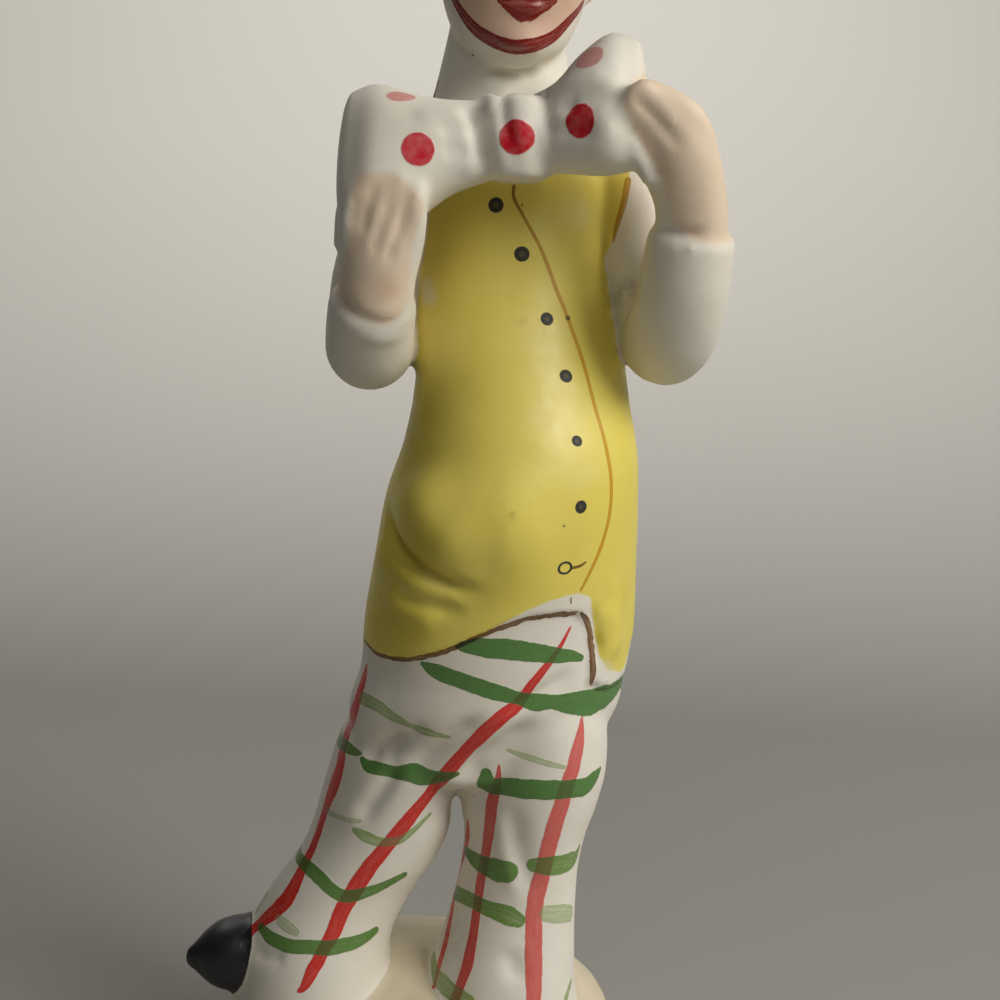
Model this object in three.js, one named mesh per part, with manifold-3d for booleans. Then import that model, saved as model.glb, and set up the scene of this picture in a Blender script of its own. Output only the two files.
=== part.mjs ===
// A hand-painted bisque porcelain figurine: a clown who stands on a low mound and holds up a big bow tie.
// It is slip-cast in one with its base, so the whole object is one solid.
// Millimetres, +Z up. The figure looks along -Y, and -X is the figure's own right side.
import * as THREE from "three";
import { mergeVertices } from "three/addons/utils/BufferGeometryUtils.js";
import Module from "manifold-3d";

const wasm = await Module();
wasm.setup();

// Driving dimensions
const CROWN = 198;
const CHIN = 167;
const SHOULDER = 155;
const CHEST = 140;
const BELLY = 100;
const HIP = 72;
const CROTCH = 50;
const KNEE = 38;
const ANKLE = 22;
const SOLE = 11;
const VEST_HEM = 69.5;
const VEST_PROUD = 0.8;
const HAND_WIDTH = 13;
const FINGER = 2.1;
const BOW_KNOT = { x: 6, y: -15, z: 156, width: 10.6, height: 13.2, depth: 15 };
const BASE = { width: 70, depth: 62, height: 22, x: -2, y: 0 };
const HAT = { crown: 8.6, brim: 13.6, height: 9.5, tilt: 10, x: 4.2, y: 1.2, z: CROWN - 3.2 };
const FACE_TURN = 10;

const CERAMIC = { color: 0xe9e6df, roughness: 0.62, metalness: 0 };

const UP = new THREE.Vector3(0, 0, 1);
const FRONT = new THREE.Vector3(0, -1, 0);
const LEFT = new THREE.Vector3(1, 0, 0);

// One cross-section: its middle, half its width and depth, its turn in degrees,
// and how square its corners are.
function section(x, y, z, wide, deep, turn = 0, square = 2) {
  return { x, y, z, wide, deep, turn, square };
}

// The smooth value at share t of the way from b to c, with a before them and d after them.
function smooth(a, b, c, d, t) {
  const slope = (c - a) * t;
  const bend = (2 * a - 5 * b + 4 * c - d) * t * t;
  const twist = (3 * b - a - 3 * c + d) * t * t * t;
  return 0.5 * (2 * b + slope + bend + twist);
}

// The sections with more of them in between, each value on one smooth curve.
function refine(sections, steps) {
  const last = sections.length - 1;
  const fine = [];
  for (let i = 0; i < last; i++) {
    const near = [i - 1, i, i + 1, i + 2].map((k) => sections[THREE.MathUtils.clamp(k, 0, last)]);
    for (let s = 0; s < steps; s++) {
      const made = {};
      for (const key of Object.keys(near[0])) {
        made[key] = smooth(...near.map((n) => n[key]), s / steps);
      }
      fine.push(made);
    }
  }
  fine.push({ ...sections[last] });
  return fine;
}

// The cross-section of a level loft at one height, between the two sections on either side of it.
function smoothCut(sections, height) {
  const i = sections.findIndex((cut) => cut.z > height);
  const share = (height - sections[i - 1].z) / (sections[i].z - sections[i - 1].z);
  const made = {};
  for (const key of Object.keys(sections[i])) {
    made[key] = THREE.MathUtils.lerp(sections[i - 1][key], sections[i][key], share);
  }
  return made;
}

// The points of one cross-section, in a ring that runs anticlockwise about the direction of the loft.
function ringPoints(cut, along, face, sides, shrink, shift) {
  const side = new THREE.Vector3().crossVectors(face, along).normalize();
  const front = new THREE.Vector3().crossVectors(along, side);
  const turn = THREE.MathUtils.degToRad(cut.turn);
  side.applyAxisAngle(along, turn);
  front.applyAxisAngle(along, turn);
  const middle = new THREE.Vector3(cut.x, cut.y, cut.z).addScaledVector(along, shift);
  const power = 2 / cut.square;
  const points = [];
  for (let k = 0; k < sides; k++) {
    const angle = (2 * Math.PI * k) / sides;
    const across = Math.sign(Math.cos(angle)) * Math.abs(Math.cos(angle)) ** power;
    const ahead = Math.sign(Math.sin(angle)) * Math.abs(Math.sin(angle)) ** power;
    points.push(
      middle
        .clone()
        .addScaledVector(side, cut.wide * shrink * across)
        .addScaledVector(front, cut.deep * shrink * ahead),
    );
  }
  return points;
}

// A closed body through the sections. They all face one way, or else they stand square to their path.
// A dome is how far the rounded end stands out past the first or the last section; 0 is a flat end.
function loft(sections, { sides = 14, steps = 2, facing = null, face = FRONT, start = 2, end = 2 } = {}) {
  const cuts = refine(sections, steps);
  const middles = cuts.map((c) => new THREE.Vector3(c.x, c.y, c.z));
  const directions = middles.map((m, i) => {
    const before = middles[Math.max(0, i - 1)];
    const after = middles[Math.min(middles.length - 1, i + 1)];
    return facing ?? new THREE.Vector3().subVectors(after, before).normalize();
  });
  const rings = [];
  const domeSteps = 2;
  const addDome = (i, reach, isStart) => {
    const made = [];
    for (let s = 1; s < domeSteps; s++) {
      const angle = (Math.PI / 2) * (s / domeSteps);
      const shift = Math.sin(angle) * reach * (isStart ? -1 : 1);
      made.push(ringPoints(cuts[i], directions[i], face, sides, Math.cos(angle), shift));
    }
    return isStart ? made.reverse() : made;
  };
  if (start > 0) rings.push(...addDome(0, start, true));
  cuts.forEach((cut, i) => rings.push(ringPoints(cut, directions[i], face, sides, 1, 0)));
  if (end > 0) rings.push(...addDome(cuts.length - 1, end, false));

  const points = rings.flat();
  const first = points.length;
  points.push(middles[0].clone().addScaledVector(directions[0], -start));
  points.push(middles.at(-1).clone().addScaledVector(directions.at(-1), end));
  const faces = [];
  const top = (rings.length - 1) * sides;
  for (let k = 0; k < sides; k++) {
    const next = (k + 1) % sides;
    faces.push(first, next, k);
    faces.push(first + 1, top + k, top + next);
    for (let r = 0; r < rings.length - 1; r++) {
      const low = r * sides;
      const high = low + sides;
      faces.push(low + k, low + next, high + next);
      faces.push(low + k, high + next, high + k);
    }
  }
  return solidOf(geometryOf(points.flatMap((p) => [p.x, p.y, p.z]), faces));
}

function geometryOf(numbers, faces) {
  const geometry = new THREE.BufferGeometry();
  geometry.setAttribute("position", new THREE.Float32BufferAttribute(numbers, 3));
  geometry.setIndex(faces);
  return geometry;
}

// A closed geometry as a solid that can be joined and cut.
function solidOf(geometry) {
  geometry.deleteAttribute("normal");
  geometry.deleteAttribute("uv");
  const merged = mergeVertices(geometry, 1e-3);
  return new wasm.Manifold(
    new wasm.Mesh({
      numProp: 3,
      vertProperties: new Float32Array(merged.attributes.position.array),
      triVerts: new Uint32Array(merged.index.array),
    }),
  );
}

function ball(x, y, z, wide, deep, high, rows = 10) {
  const sphere = new THREE.SphereGeometry(1, rows * 2, rows);
  sphere.rotateX(Math.PI / 2);
  sphere.scale(wide, deep, high);
  sphere.translate(x, y, z);
  return solidOf(sphere);
}

function join(solids) {
  return solids.reduce((whole, next) => whole.add(next));
}

// The body from the seat to the shoulders: the belly is pushed forward and to the figure's left.
const BODY = [
  section(4.4, 1.0, CROTCH + 5, 19.6, 13.8, 16),
  section(6.3, 0.6, HIP - 8, 23.2, 17.2, 23),
  section(7.6, 0.2, HIP - 1, 23.2, 17.6, 29),
  section(8.0, -0.6, HIP + 8, 23.5, 18.0, 33),
  section(8.4, -1.8, BELLY - 10, 22.6, 18.6, 38),
  section(8.9, -2.8, BELLY, 21.5, 18.6, 42),
  section(9.7, -2.4, BELLY + 8, 19.6, 17.6, 42),
  section(9.4, -0.8, BELLY + 17, 18.0, 15.6, 37),
  section(8.4, 1.4, CHEST - 10, 16.8, 13.4, 26),
  section(7.8, 2.4, CHEST, 15.6, 12.6, 14),
  section(7.6, 2.8, SHOULDER - 4, 15.8, 12.0, 4),
  section(6.6, 2.6, SHOULDER + 4, 13.8, 10.6, 0),
];

// The trousers' seat is the lower part of the body, drawn in by the thickness of the vest.
function seat() {
  const inner = BODY.slice(0, 5).map((cut) => ({
    ...cut,
    wide: cut.wide - VEST_PROUD,
    deep: cut.deep - VEST_PROUD,
  }));
  return loft(inner, { sides: 24, facing: UP, start: 5, end: 1 });
}

// Seen from the front, the vest's hem climbs from the right hip to the front edge,
// and a flap hangs left of it.
function hemCutter() {
  const beside = -34;
  const below = 60;
  const line = new THREE.SplineCurve([
    new THREE.Vector2(beside, 78.0),
    new THREE.Vector2(-12.5, 75.4),
    new THREE.Vector2(-5, 74.8),
    new THREE.Vector2(8, 79.4),
    new THREE.Vector2(19.9, 83.6),
  ]);
  const flapEdge = [
    new THREE.Vector2(22.4, 78),
    new THREE.Vector2(23.2, below),
    new THREE.Vector2(beside, below),
  ];
  const shape = new THREE.Shape([...line.getPoints(16), ...flapEdge]);
  const reach = 60;
  const cutter = new THREE.ExtrudeGeometry(shape, { depth: reach, bevelEnabled: false });
  cutter.rotateX(Math.PI / 2);
  cutter.translate(0, reach / 2, 0);
  const fall = 0.2;
  const frontOfHem = -14;
  const leaning = new THREE.Matrix4().makeShear(0, 0, 0, -fall, 0, 0);
  cutter.applyMatrix4(leaning.setPosition(0, 0, fall * frontOfHem));
  return solidOf(cutter);
}

function vest() {
  const hem = smoothCut(BODY, VEST_HEM);
  const nextCut = 2;
  const above = BODY.filter((cut) => cut.z > VEST_HEM + nextCut);
  const body = loft([hem, ...above], { sides: 24, facing: UP, start: 0, end: 3 });
  return body.subtract(hemCutter());
}

function neck() {
  return loft(
    [
      section(4.6, 2.4, SHOULDER + 4, 13.2, 10.6, 4),
      section(4.1, 2.4, SHOULDER + 8, 11.2, 9.2, 6),
      section(4.0, 2.2, CHIN + 3, 9.7, 8.4, 8),
      section(4.4, 0.8, CHIN + 9, 9.0, 9.4, 8),
    ],
    { sides: 16, steps: 1, facing: UP },
  );
}

function head() {
  const skull = loft(
    [
      section(5.2, -4.6, CHIN + 0.6, 4.6, 5.2, FACE_TURN),
      section(4.9, -3.2, CHIN + 3.6, 8.3, 8.6, FACE_TURN),
      section(4.8, -1.9, CHIN + 8, 10.4, 11.0, FACE_TURN),
      section(4.8, -1.0, CHIN + 13, 11.6, 12.6, FACE_TURN),
      section(4.6, -0.4, CHIN + 20, 12.2, 13.4, FACE_TURN),
      section(4.4, 0.2, CROWN - 5.5, 11.2, 12.4, FACE_TURN),
      section(4.4, 0.4, CROWN - 1.6, 6.8, 7.6, FACE_TURN),
    ],
    { sides: 20, facing: UP, start: 1.2, end: 1.6 },
  );
  const nose = ball(7.1, -14.0, CHIN + 14.4, 2.3, 2.2, 2.2, 6);
  const ears = [-1, 1].map((way) => ball(4.6 + way * 11.6, 1.6, CHIN + 14, 1.6, 2.2, 3.2, 5));
  const hair = [-1, 1].map((way) => ball(4.4 + way * 11.4, 3.6, CHIN + 20, 3.9, 5.8, 5.0, 6));
  return join([skull, nose, ...ears, ...hair]);
}

// A small round-topped hat, worn a little to the back and to one side.
function hat() {
  const rise = HAT.height;
  const profile = [
    [0, -4],
    [HAT.brim - 3, -4],
    [HAT.brim - 0.8, -0.9],
    [HAT.brim, 0.1],
    [HAT.brim - 0.6, 1.1],
    [HAT.crown + 1.2, 0.7],
    [HAT.crown, 1.6],
    [HAT.crown - 0.2, rise * 0.5],
    [HAT.crown - 1.6, rise * 0.8],
    [HAT.crown * 0.5, rise * 0.97],
    [0, rise],
  ];
  const lathe = new THREE.LatheGeometry(profile.map(([r, h]) => new THREE.Vector2(r, h)), 20);
  lathe.rotateX(Math.PI / 2);
  lathe.rotateY(THREE.MathUtils.degToRad(-HAT.tilt));
  lathe.rotateX(THREE.MathUtils.degToRad(-HAT.tilt));
  lathe.translate(HAT.x, HAT.y, HAT.z);
  return solidOf(lathe);
}

// Both sleeves are bent sharply: the upper arm hangs beside the vest and the forearm rises in front of it.
function rightSleeve() {
  const upper = loft(
    [
      section(-3.0, 3.2, SHOULDER + 0.5, 6.6, 7.0),
      section(-9.6, 2.8, SHOULDER - 4.5, 7.8, 7.6),
      section(-14.4, 0.8, 134, 7.4, 7.6),
      section(-15.0, -3.4, 124, 7.1, 7.4),
    ],
    { start: 4, end: 6.4 },
  );
  const fore = loft(
    [
      section(-15.0, -5.0, 123.2, 7.0, 7.0),
      section(-14.8, -10.6, 123.2, 6.9, 6.9),
      section(-14.5, -14.8, 126.6, 6.8, 6.6),
      section(-14.1, -18.0, 130.4, 6.7, 6.2),
    ],
    { face: UP, start: 5.5, end: 0.8 },
  );
  return join([upper, fore]);
}

function leftSleeve() {
  const upper = loft(
    [
      section(17.0, 3.4, SHOULDER + 0.5, 6.6, 7.0),
      section(23.8, 2.8, SHOULDER - 4.5, 7.8, 7.6),
      section(28.6, 0.6, 137, 7.6, 7.8),
      section(31.6, -2.6, 127, 7.2, 7.6),
    ],
    { start: 4, end: 6.6 },
  );
  const fore = loft(
    [
      section(31.6, -4.0, 125.6, 7.2, 7.0),
      section(32.4, -9.6, 128.4, 7.2, 7.2),
      section(33.2, -14.2, 135.0, 7.1, 6.9),
      section(33.8, -16.6, 142.6, 6.7, 6.3),
    ],
    { face: UP, start: 5.8, end: 0.8 },
  );
  return join([upper, fore]);
}

// A hand: a palm on a short wrist, and four fingers side by side over the end of the bow.
// Across is the direction from the first finger to the last, seen from the front.
function hand(palm, tips, across, thumb) {
  const [root, knuckle] = palm.slice(-3, -1);
  const fingers = tips.map((tip, i) => {
    const share = (i / (tips.length - 1) - 0.5) * (HAND_WIDTH - 2 * FINGER);
    const besides = (from, ahead) =>
      section(from.x + share * across[0], from.y - ahead, from.z + share * across[1], FINGER, FINGER);
    const end = section(...tip, FINGER * 0.9, FINGER * 0.9);
    return loft([besides(root, 1.2), besides(knuckle, 1.7), end], { sides: 7, steps: 1, start: 1, end: 1.6 });
  });
  return join([
    loft(palm, { sides: 12, end: 3 }),
    ...fingers,
    loft(thumb, { sides: 7, steps: 1, start: 1, end: 2 }),
  ]);
}

function rightHand() {
  return hand(
    [
      section(-13.8, -18.8, 128.5, 5.9, 5.2),
      section(-13.5, -20.0, 134.0, 5.9, 4.9),
      section(-13.0, -21.2, 139.5, 6.4, 4.6),
      section(-12.6, -21.8, 144.5, 6.2, 4.2),
      section(-12.3, -22.0, 147.0, 5.4, 3.6),
    ],
    [
      [-16.2, -23.6, 147.4],
      [-13.5, -24.0, 149.0],
      [-10.7, -24.0, 149.0],
      [-8.1, -23.6, 147.4],
    ],
    [1, 0],
    [
      section(-18.2, -16.6, 138.0, 2.2, 2.2),
      section(-18.6, -13.6, 144.0, 2.0, 2.0),
      section(-16.2, -12.0, 148.0, 1.8, 1.8),
    ],
  );
}

function leftHand() {
  return hand(
    [
      section(33.8, -16.6, 141.5, 5.6, 5.2),
      section(33.0, -18.6, 148.0, 5.5, 4.9, -6),
      section(30.8, -20.6, 153.6, 6.0, 4.6, -14),
      section(27.8, -21.8, 158.0, 5.9, 4.2, -22),
      section(25.6, -22.6, 160.6, 4.8, 3.7, -28),
    ],
    [
      [22.2, -24.2, 161.4],
      [23.2, -24.8, 162.6],
      [24.4, -24.8, 163.4],
      [25.8, -24.0, 163.2],
    ],
    [0.8, 0.56],
    [
      section(34.6, -14.8, 149.5, 2.2, 2.2),
      section(31.0, -13.0, 154.0, 2.0, 2.0),
      section(25.4, -12.6, 157.5, 1.8, 1.8),
    ],
  );
}

// The bow: two puffed lobes that widen away from a square knot, the left one raised.
function bow() {
  const lobes = loft(
    [
      section(-18.6, -17.2, 151.2, 11.0, 4.8, -24, 2.6),
      section(-14.8, -17.6, 151.6, 11.8, 6.8, -26, 2.4),
      section(-8.4, -17.6, 152.0, 9.6, 6.8, -18, 2.2),
      section(-2.6, -17.4, 154.0, 7.0, 5.6, -5, 2.2),
      section(BOW_KNOT.x, -17.0, 156.0, 5.8, 4.6, 0, 2.2),
      section(11.4, -17.4, 157.4, 6.6, 5.4, -10, 2.2),
      section(15.4, -17.8, 159.8, 9.1, 6.4, -20, 2.3),
      section(19.6, -18.0, 161.4, 11.1, 6.8, -27, 2.4),
      section(23.4, -18.0, 161.6, 10.7, 5.0, -27, 2.6),
    ],
    { sides: 18, facing: LEFT, start: 1.8, end: 2.2 },
  );
  const half = { wide: BOW_KNOT.width / 2, high: BOW_KNOT.height / 2, deep: BOW_KNOT.depth / 2 };
  const knot = loft(
    [
      section(BOW_KNOT.x + 0.4, BOW_KNOT.y, BOW_KNOT.z - half.high + 1, half.wide, half.deep, 0, 2.6),
      section(BOW_KNOT.x, BOW_KNOT.y - 0.6, BOW_KNOT.z, half.wide * 0.96, half.deep * 1.04, 0, 2.6),
      section(BOW_KNOT.x - 0.2, BOW_KNOT.y, BOW_KNOT.z + half.high - 1, half.wide, half.deep, 0, 2.6),
    ],
    { sides: 16, steps: 1, facing: UP, start: 1, end: 1 },
  );
  return join([lobes, knot]);
}

// The wide trousers: the figure's right leg steps out to the side, its left leg carries the weight.
function trouserLegs() {
  const right = loft(
    [
      section(-20.2, -1.6, SOLE, 13.4, 13.0, 8),
      section(-20.4, -1.8, ANKLE - 2, 12.5, 12.2, 8),
      section(-19.2, -1.6, ANKLE + 4, 11.9, 11.4, 8),
      section(-16.0, -1.2, KNEE - 5.5, 11.6, 10.6, 10),
      section(-12.3, -0.8, KNEE, 11.4, 10.8, 10),
      section(-10.1, -0.4, KNEE + 5.5, 11.3, 11.4, 12),
      section(-9.0, 0.0, CROTCH, 10.8, 12.8, 14),
      section(-4.2, 0.4, CROTCH + 9, 13.0, 14.4, 18),
      section(1.6, 0.6, HIP - 5, 13.8, 14.6, 22),
    ],
    { sides: 18, facing: UP, start: 2, end: 4 },
  );
  const left = loft(
    [
      section(10.4, -2.0, SOLE - 1, 14.0, 13.6, 0),
      section(11.1, -1.9, ANKLE - 3, 12.3, 12.2, 0),
      section(12.0, -1.6, ANKLE + 4.5, 10.9, 10.8, 0),
      section(12.7, -1.2, KNEE - 5.5, 10.1, 10.2, 4),
      section(13.2, -0.8, KNEE, 9.7, 10.4, 8),
      section(13.7, -0.4, KNEE + 5.5, 10.0, 11.2, 12),
      section(14.0, 0.0, CROTCH, 11.6, 12.6, 16),
      section(14.0, 0.4, CROTCH + 9, 13.2, 14.2, 20),
      section(12.2, 0.6, HIP - 5, 13.8, 14.6, 24),
    ],
    { sides: 18, facing: UP, start: 2, end: 4 },
  );
  return join([right, left]);
}

// A pointed shoe that comes out from under the hem. Heading is where its toe points, in degrees
// from the front towards the figure's left, reach how far it goes, and lift how much the tip
// stands above the middle of the toe.
function shoe(x, y, z, heading, { reach, wide, high, lift }) {
  const angle = THREE.MathUtils.degToRad(heading);
  const ahead = [Math.sin(angle), -Math.cos(angle)];
  const at = (share, up, across, tall) =>
    section(x + reach * share * ahead[0], y + reach * share * ahead[1], z + up, across, tall);
  return loft(
    [
      at(0, high, wide, high),
      at(0.55, high * 0.97, wide, high * 0.97),
      at(0.82, high * 0.88 + lift * 0.4, wide * 0.76, high * 0.74),
      at(1, high * 0.8 + lift, wide * 0.28, high * 0.28),
    ],
    { sides: 14, face: UP, start: 3, end: 1.2 },
  );
}

// The mound that carries the figure: low in front, higher behind the legs, flat underneath.
function base() {
  const wide = BASE.width / 2;
  const deep = BASE.depth / 2;
  const high = BASE.height;
  return loft(
    [
      section(BASE.x, BASE.y, 0, wide - 1.2, deep - 1.2),
      section(BASE.x, BASE.y, 1.6, wide, deep),
      section(BASE.x, BASE.y, high * 0.26, wide - 0.2, deep - 0.4),
      section(BASE.x + 0.3, BASE.y + 1.0, high * 0.42, wide * 0.92, deep * 0.9),
      section(BASE.x + 0.8, BASE.y + 5.2, high * 0.6, wide * 0.85, deep * 0.7),
      section(BASE.x + 0.8, BASE.y + 7.6, high * 0.8, wide * 0.72, deep * 0.54),
      section(BASE.x + 0.2, BASE.y + 9.4, high * 0.95, wide * 0.45, deep * 0.3),
    ],
    { sides: 34, steps: 1, facing: UP, start: 0, end: 1.1 },
  );
}

function figurine() {
  return join([
    base(),
    trouserLegs(),
    shoe(-22.0, -1.2, SOLE + 2.8, -80, { reach: 18.4, wide: 6.4, high: 6.8, lift: 0.6 }),
    shoe(12.6, -6.4, SOLE - 4.6, 22, { reach: 21.4, wide: 6.8, high: 4.6, lift: -0.4 }),
    seat(),
    vest(),
    neck(),
    head(),
    hat(),
    rightSleeve(),
    leftSleeve(),
    bow(),
    rightHand(),
    leftHand(),
  ]);
}

function meshOf(name, solid, finish) {
  const made = solid.getMesh();
  const numbers = [];
  for (let v = 0; v < made.numVert; v++) {
    numbers.push(...made.vertProperties.subarray(v * made.numProp, v * made.numProp + 3));
  }
  const material = new THREE.MeshStandardMaterial(finish);
  const mesh = new THREE.Mesh(geometryOf(numbers, [...made.triVerts]), material);
  mesh.name = name;
  return mesh;
}

const group = new THREE.Group();
group.add(meshOf("clown_figurine", figurine(), CERAMIC));

export default group;
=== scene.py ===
import math

import bmesh
import bpy
import numpy as np
from mathutils import Matrix, Vector, noise
from mathutils.bvhtree import BVHTree


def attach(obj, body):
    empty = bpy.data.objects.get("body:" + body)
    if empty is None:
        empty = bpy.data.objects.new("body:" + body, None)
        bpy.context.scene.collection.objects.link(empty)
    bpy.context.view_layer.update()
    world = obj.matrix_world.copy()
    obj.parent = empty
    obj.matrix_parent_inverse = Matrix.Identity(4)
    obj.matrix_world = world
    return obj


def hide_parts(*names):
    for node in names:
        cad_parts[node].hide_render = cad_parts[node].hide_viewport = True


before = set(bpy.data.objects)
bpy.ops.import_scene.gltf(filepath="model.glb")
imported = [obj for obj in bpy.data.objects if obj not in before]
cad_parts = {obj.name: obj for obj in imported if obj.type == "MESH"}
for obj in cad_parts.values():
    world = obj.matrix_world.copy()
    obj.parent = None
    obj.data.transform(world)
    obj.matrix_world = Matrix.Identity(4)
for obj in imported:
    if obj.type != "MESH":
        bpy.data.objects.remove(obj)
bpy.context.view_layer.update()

MM = 0.001
NODE = "clown_figurine"

# The picture's camera, in millimetres and in pixels of the picture
FOCAL = 2048.0
PICTURE = 1000.0
SENSOR = 36.0
PITCH = math.radians(8)
ROLL = math.radians(3)
EYE = np.array([6.77, -330.0, 144.72])
PIXEL = -EYE[1] / FOCAL

# The heights that the figure is built on
CROWN = 198
CHIN = 167
SHOULDER = 155
CHEST = 140
BELLY = 100
HIP = 72
CROTCH = 50
KNEE = 38
ANKLE = 22
SOLE = 11

VEST_PROUD = 0.8
FINGER = 2.1
HAND_WIDTH = 13
KNOT = {"x": 6, "y": -15, "z": 156, "width": 10.6, "height": 13.2, "depth": 15}
BASE = {"width": 70, "depth": 62, "height": 22, "x": -2, "y": 0}
HAT = {"crown": 8.6, "brim": 13.6, "height": 9.5, "tilt": 10, "x": 4.2, "y": 1.2, "z": CROWN - 3.2}
FACE_TURN = 10
FACE_MIDDLE = (4.8, -1.0)

# The size of the mesh's faces, how many sides and steps round a domed end, where a straight view starts,
# how far a mark may miss the outline, and a place that is outside every stroke and spot
GRAIN = 0.729
DOME_STEPS = 6
FAR = 200.0
BESIDE = 4.0
UNPAINTED = 9.0

UP = np.array([0.0, 0.0, 1.0])
FRONT = np.array([0.0, -1.0, 0.0])
LEFT = np.array([1.0, 0.0, 0.0])


def unit(v):
    return v / np.maximum(np.linalg.norm(v, axis=-1, keepdims=True), 1e-9)


def step(low, high, x):
    """0 below low, 1 above high, and smooth in between."""
    t = np.clip((x - low) / (high - low), 0, 1)
    return t * t * (3 - 2 * t)


# Shapes: closed bodies through cross-sections


def refine(rows, steps):
    """The rows with more of them in between, each value on one smooth curve."""
    rows = np.array(rows, float)
    last = len(rows) - 1
    fine = []
    for i in range(last):
        a, b, c, d = (rows[min(max(k, 0), last)] for k in (i - 1, i, i + 1, i + 2))
        for s in range(steps):
            t = s / steps
            slope = (c - a) * t
            bend = (2 * a - 5 * b + 4 * c - d) * t * t
            twist = (3 * b - a - 3 * c + d) * t**3
            fine.append(0.5 * (2 * b + slope + bend + twist))
    return np.array(fine + [rows[last]])


def section(x, y, z, wide, deep, turn=0, square=2):
    """A cross-section: its middle, half its width and depth, its turn in degrees, and how square it is."""
    return x, y, z, wide, deep, turn, square


def ring(cut, along, face, sides, shrink=1.0, shift=0.0):
    """The points of one cross-section, anticlockwise about the direction of the loft."""
    x, y, z, wide, deep, turn, square = cut
    side = unit(np.cross(face, along))
    front = np.cross(along, side)
    angle = math.radians(turn)
    side, front = (v * math.cos(angle) + np.cross(along, v) * math.sin(angle) for v in (side, front))
    turns = np.arange(sides) * 2 * math.pi / sides
    across, ahead = (np.sign(v) * np.abs(v) ** (2 / square) for v in (np.cos(turns), np.sin(turns)))
    middle = np.array([x, y, z]) + along * shift
    return middle + shrink * (wide * across[:, None] * side + deep * ahead[:, None] * front)


def closed(rings, first, last):
    """A closed body through rings of as many points, from the point first to the point last."""
    sides = len(rings[0])
    points = np.vstack([*rings, [first], [last]])
    low, high = len(points) - 2, len(points) - 1
    top = (len(rings) - 1) * sides
    faces = []
    for k in range(sides):
        after = (k + 1) % sides
        faces += [(low, after, k), (high, top + k, top + after)]
        faces += [(r + k, r + after, r + sides + after, r + sides + k) for r in range(0, top, sides)]
    return points, faces


def loft(sections, sides=48, steps=8, facing=None, face=FRONT, start=2.0, end=2.0):
    """A body through the sections, with domed ends that stand out by start and end; 0 is a flat end.
    The sections all face one way, or else they stand square to their path."""
    cuts = refine([section(*row) for row in sections], steps)
    middles = cuts[:, :3]
    along = unit(np.vstack([middles[1:], middles[-1:]]) - np.vstack([middles[:1], middles[:-1]]))
    if facing is not None:
        along = np.tile(facing, (len(cuts), 1))
    rings = [ring(cut, way, face, sides) for cut, way in zip(cuts, along)]
    for a in (k * math.pi / (2 * DOME_STEPS) for k in range(1, DOME_STEPS)):
        if start > 0:
            rings.insert(0, ring(cuts[0], along[0], face, sides, math.cos(a), -math.sin(a) * start))
        if end > 0:
            rings.append(ring(cuts[-1], along[-1], face, sides, math.cos(a), math.sin(a) * end))
    return closed(rings, middles[0] - along[0] * start, middles[-1] + along[-1] * end)


def ball(x, y, z, wide, deep, high, fineness=4):
    made = bmesh.new()
    bmesh.ops.create_icosphere(made, subdivisions=fineness, radius=1)
    points = np.array([v.co for v in made.verts]) * (wide, deep, high) + (x, y, z)
    faces = [tuple(v.index for v in f.verts) for f in made.faces]
    made.free()
    return points, faces


def both(*bodies):
    """Several bodies as one list of points and faces. They may run into each other."""
    points, faces = [], []
    count = 0
    for some_points, some_faces in bodies:
        points.append(some_points)
        faces += [tuple(i + count for i in f) for f in some_faces]
        count += len(some_points)
    return np.vstack(points), faces


# The figure's own shapes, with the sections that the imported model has

BODY = [
    (4.4, 1.0, CROTCH + 5, 19.6, 13.8, 16),
    (6.3, 0.6, HIP - 8, 23.2, 17.2, 23),
    (7.6, 0.2, HIP - 1, 23.2, 17.6, 29),
    (8.0, -0.6, HIP + 8, 23.5, 18.0, 33),
    (8.4, -1.8, BELLY - 10, 22.6, 18.6, 38),
    (8.9, -2.8, BELLY, 21.5, 18.6, 42),
    (9.7, -2.4, BELLY + 8, 19.6, 17.6, 42),
    (9.4, -0.8, BELLY + 17, 18.0, 15.6, 37),
    (8.4, 1.4, CHEST - 10, 16.8, 13.4, 26),
    (7.8, 2.4, CHEST, 15.6, 12.6, 14),
    (7.6, 2.8, SHOULDER - 4, 15.8, 12.0, 4),
    (6.6, 2.6, SHOULDER + 4, 13.8, 10.6, 0),
]


def torso():
    return loft(BODY, sides=96, facing=UP, start=4, end=3)


def neck():
    rows = [
        (4.6, 2.4, SHOULDER + 4, 13.2, 10.6, 4),
        (4.1, 2.4, SHOULDER + 8, 11.2, 9.2, 6),
        (4.0, 2.2, CHIN + 3, 9.7, 8.4, 8),
        (4.4, 0.8, CHIN + 9, 9.0, 9.4, 8),
    ]
    return loft(rows, facing=UP)


def skull():
    rows = [
        (5.2, -4.6, CHIN + 0.6, 4.6, 5.2, FACE_TURN),
        (4.9, -3.2, CHIN + 3.6, 8.3, 8.6, FACE_TURN),
        (4.8, -1.9, CHIN + 8, 10.4, 11.0, FACE_TURN),
        (4.8, -1.0, CHIN + 13, 11.6, 12.6, FACE_TURN),
        (4.6, -0.4, CHIN + 20, 12.2, 13.4, FACE_TURN),
        (4.4, 0.2, CROWN - 5.5, 11.2, 12.4, FACE_TURN),
        (4.4, 0.4, CROWN - 1.6, 6.8, 7.6, FACE_TURN),
    ]
    return loft(rows, sides=64, facing=UP, start=1.2, end=1.6)


def nose():
    return ball(7.1, -14.0, CHIN + 14.4, 2.3, 2.2, 2.2)


def ears():
    return both(*(ball(4.6 + way * 11.6, 1.6, CHIN + 14, 1.6, 2.2, 3.2) for way in (-1, 1)))


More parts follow.
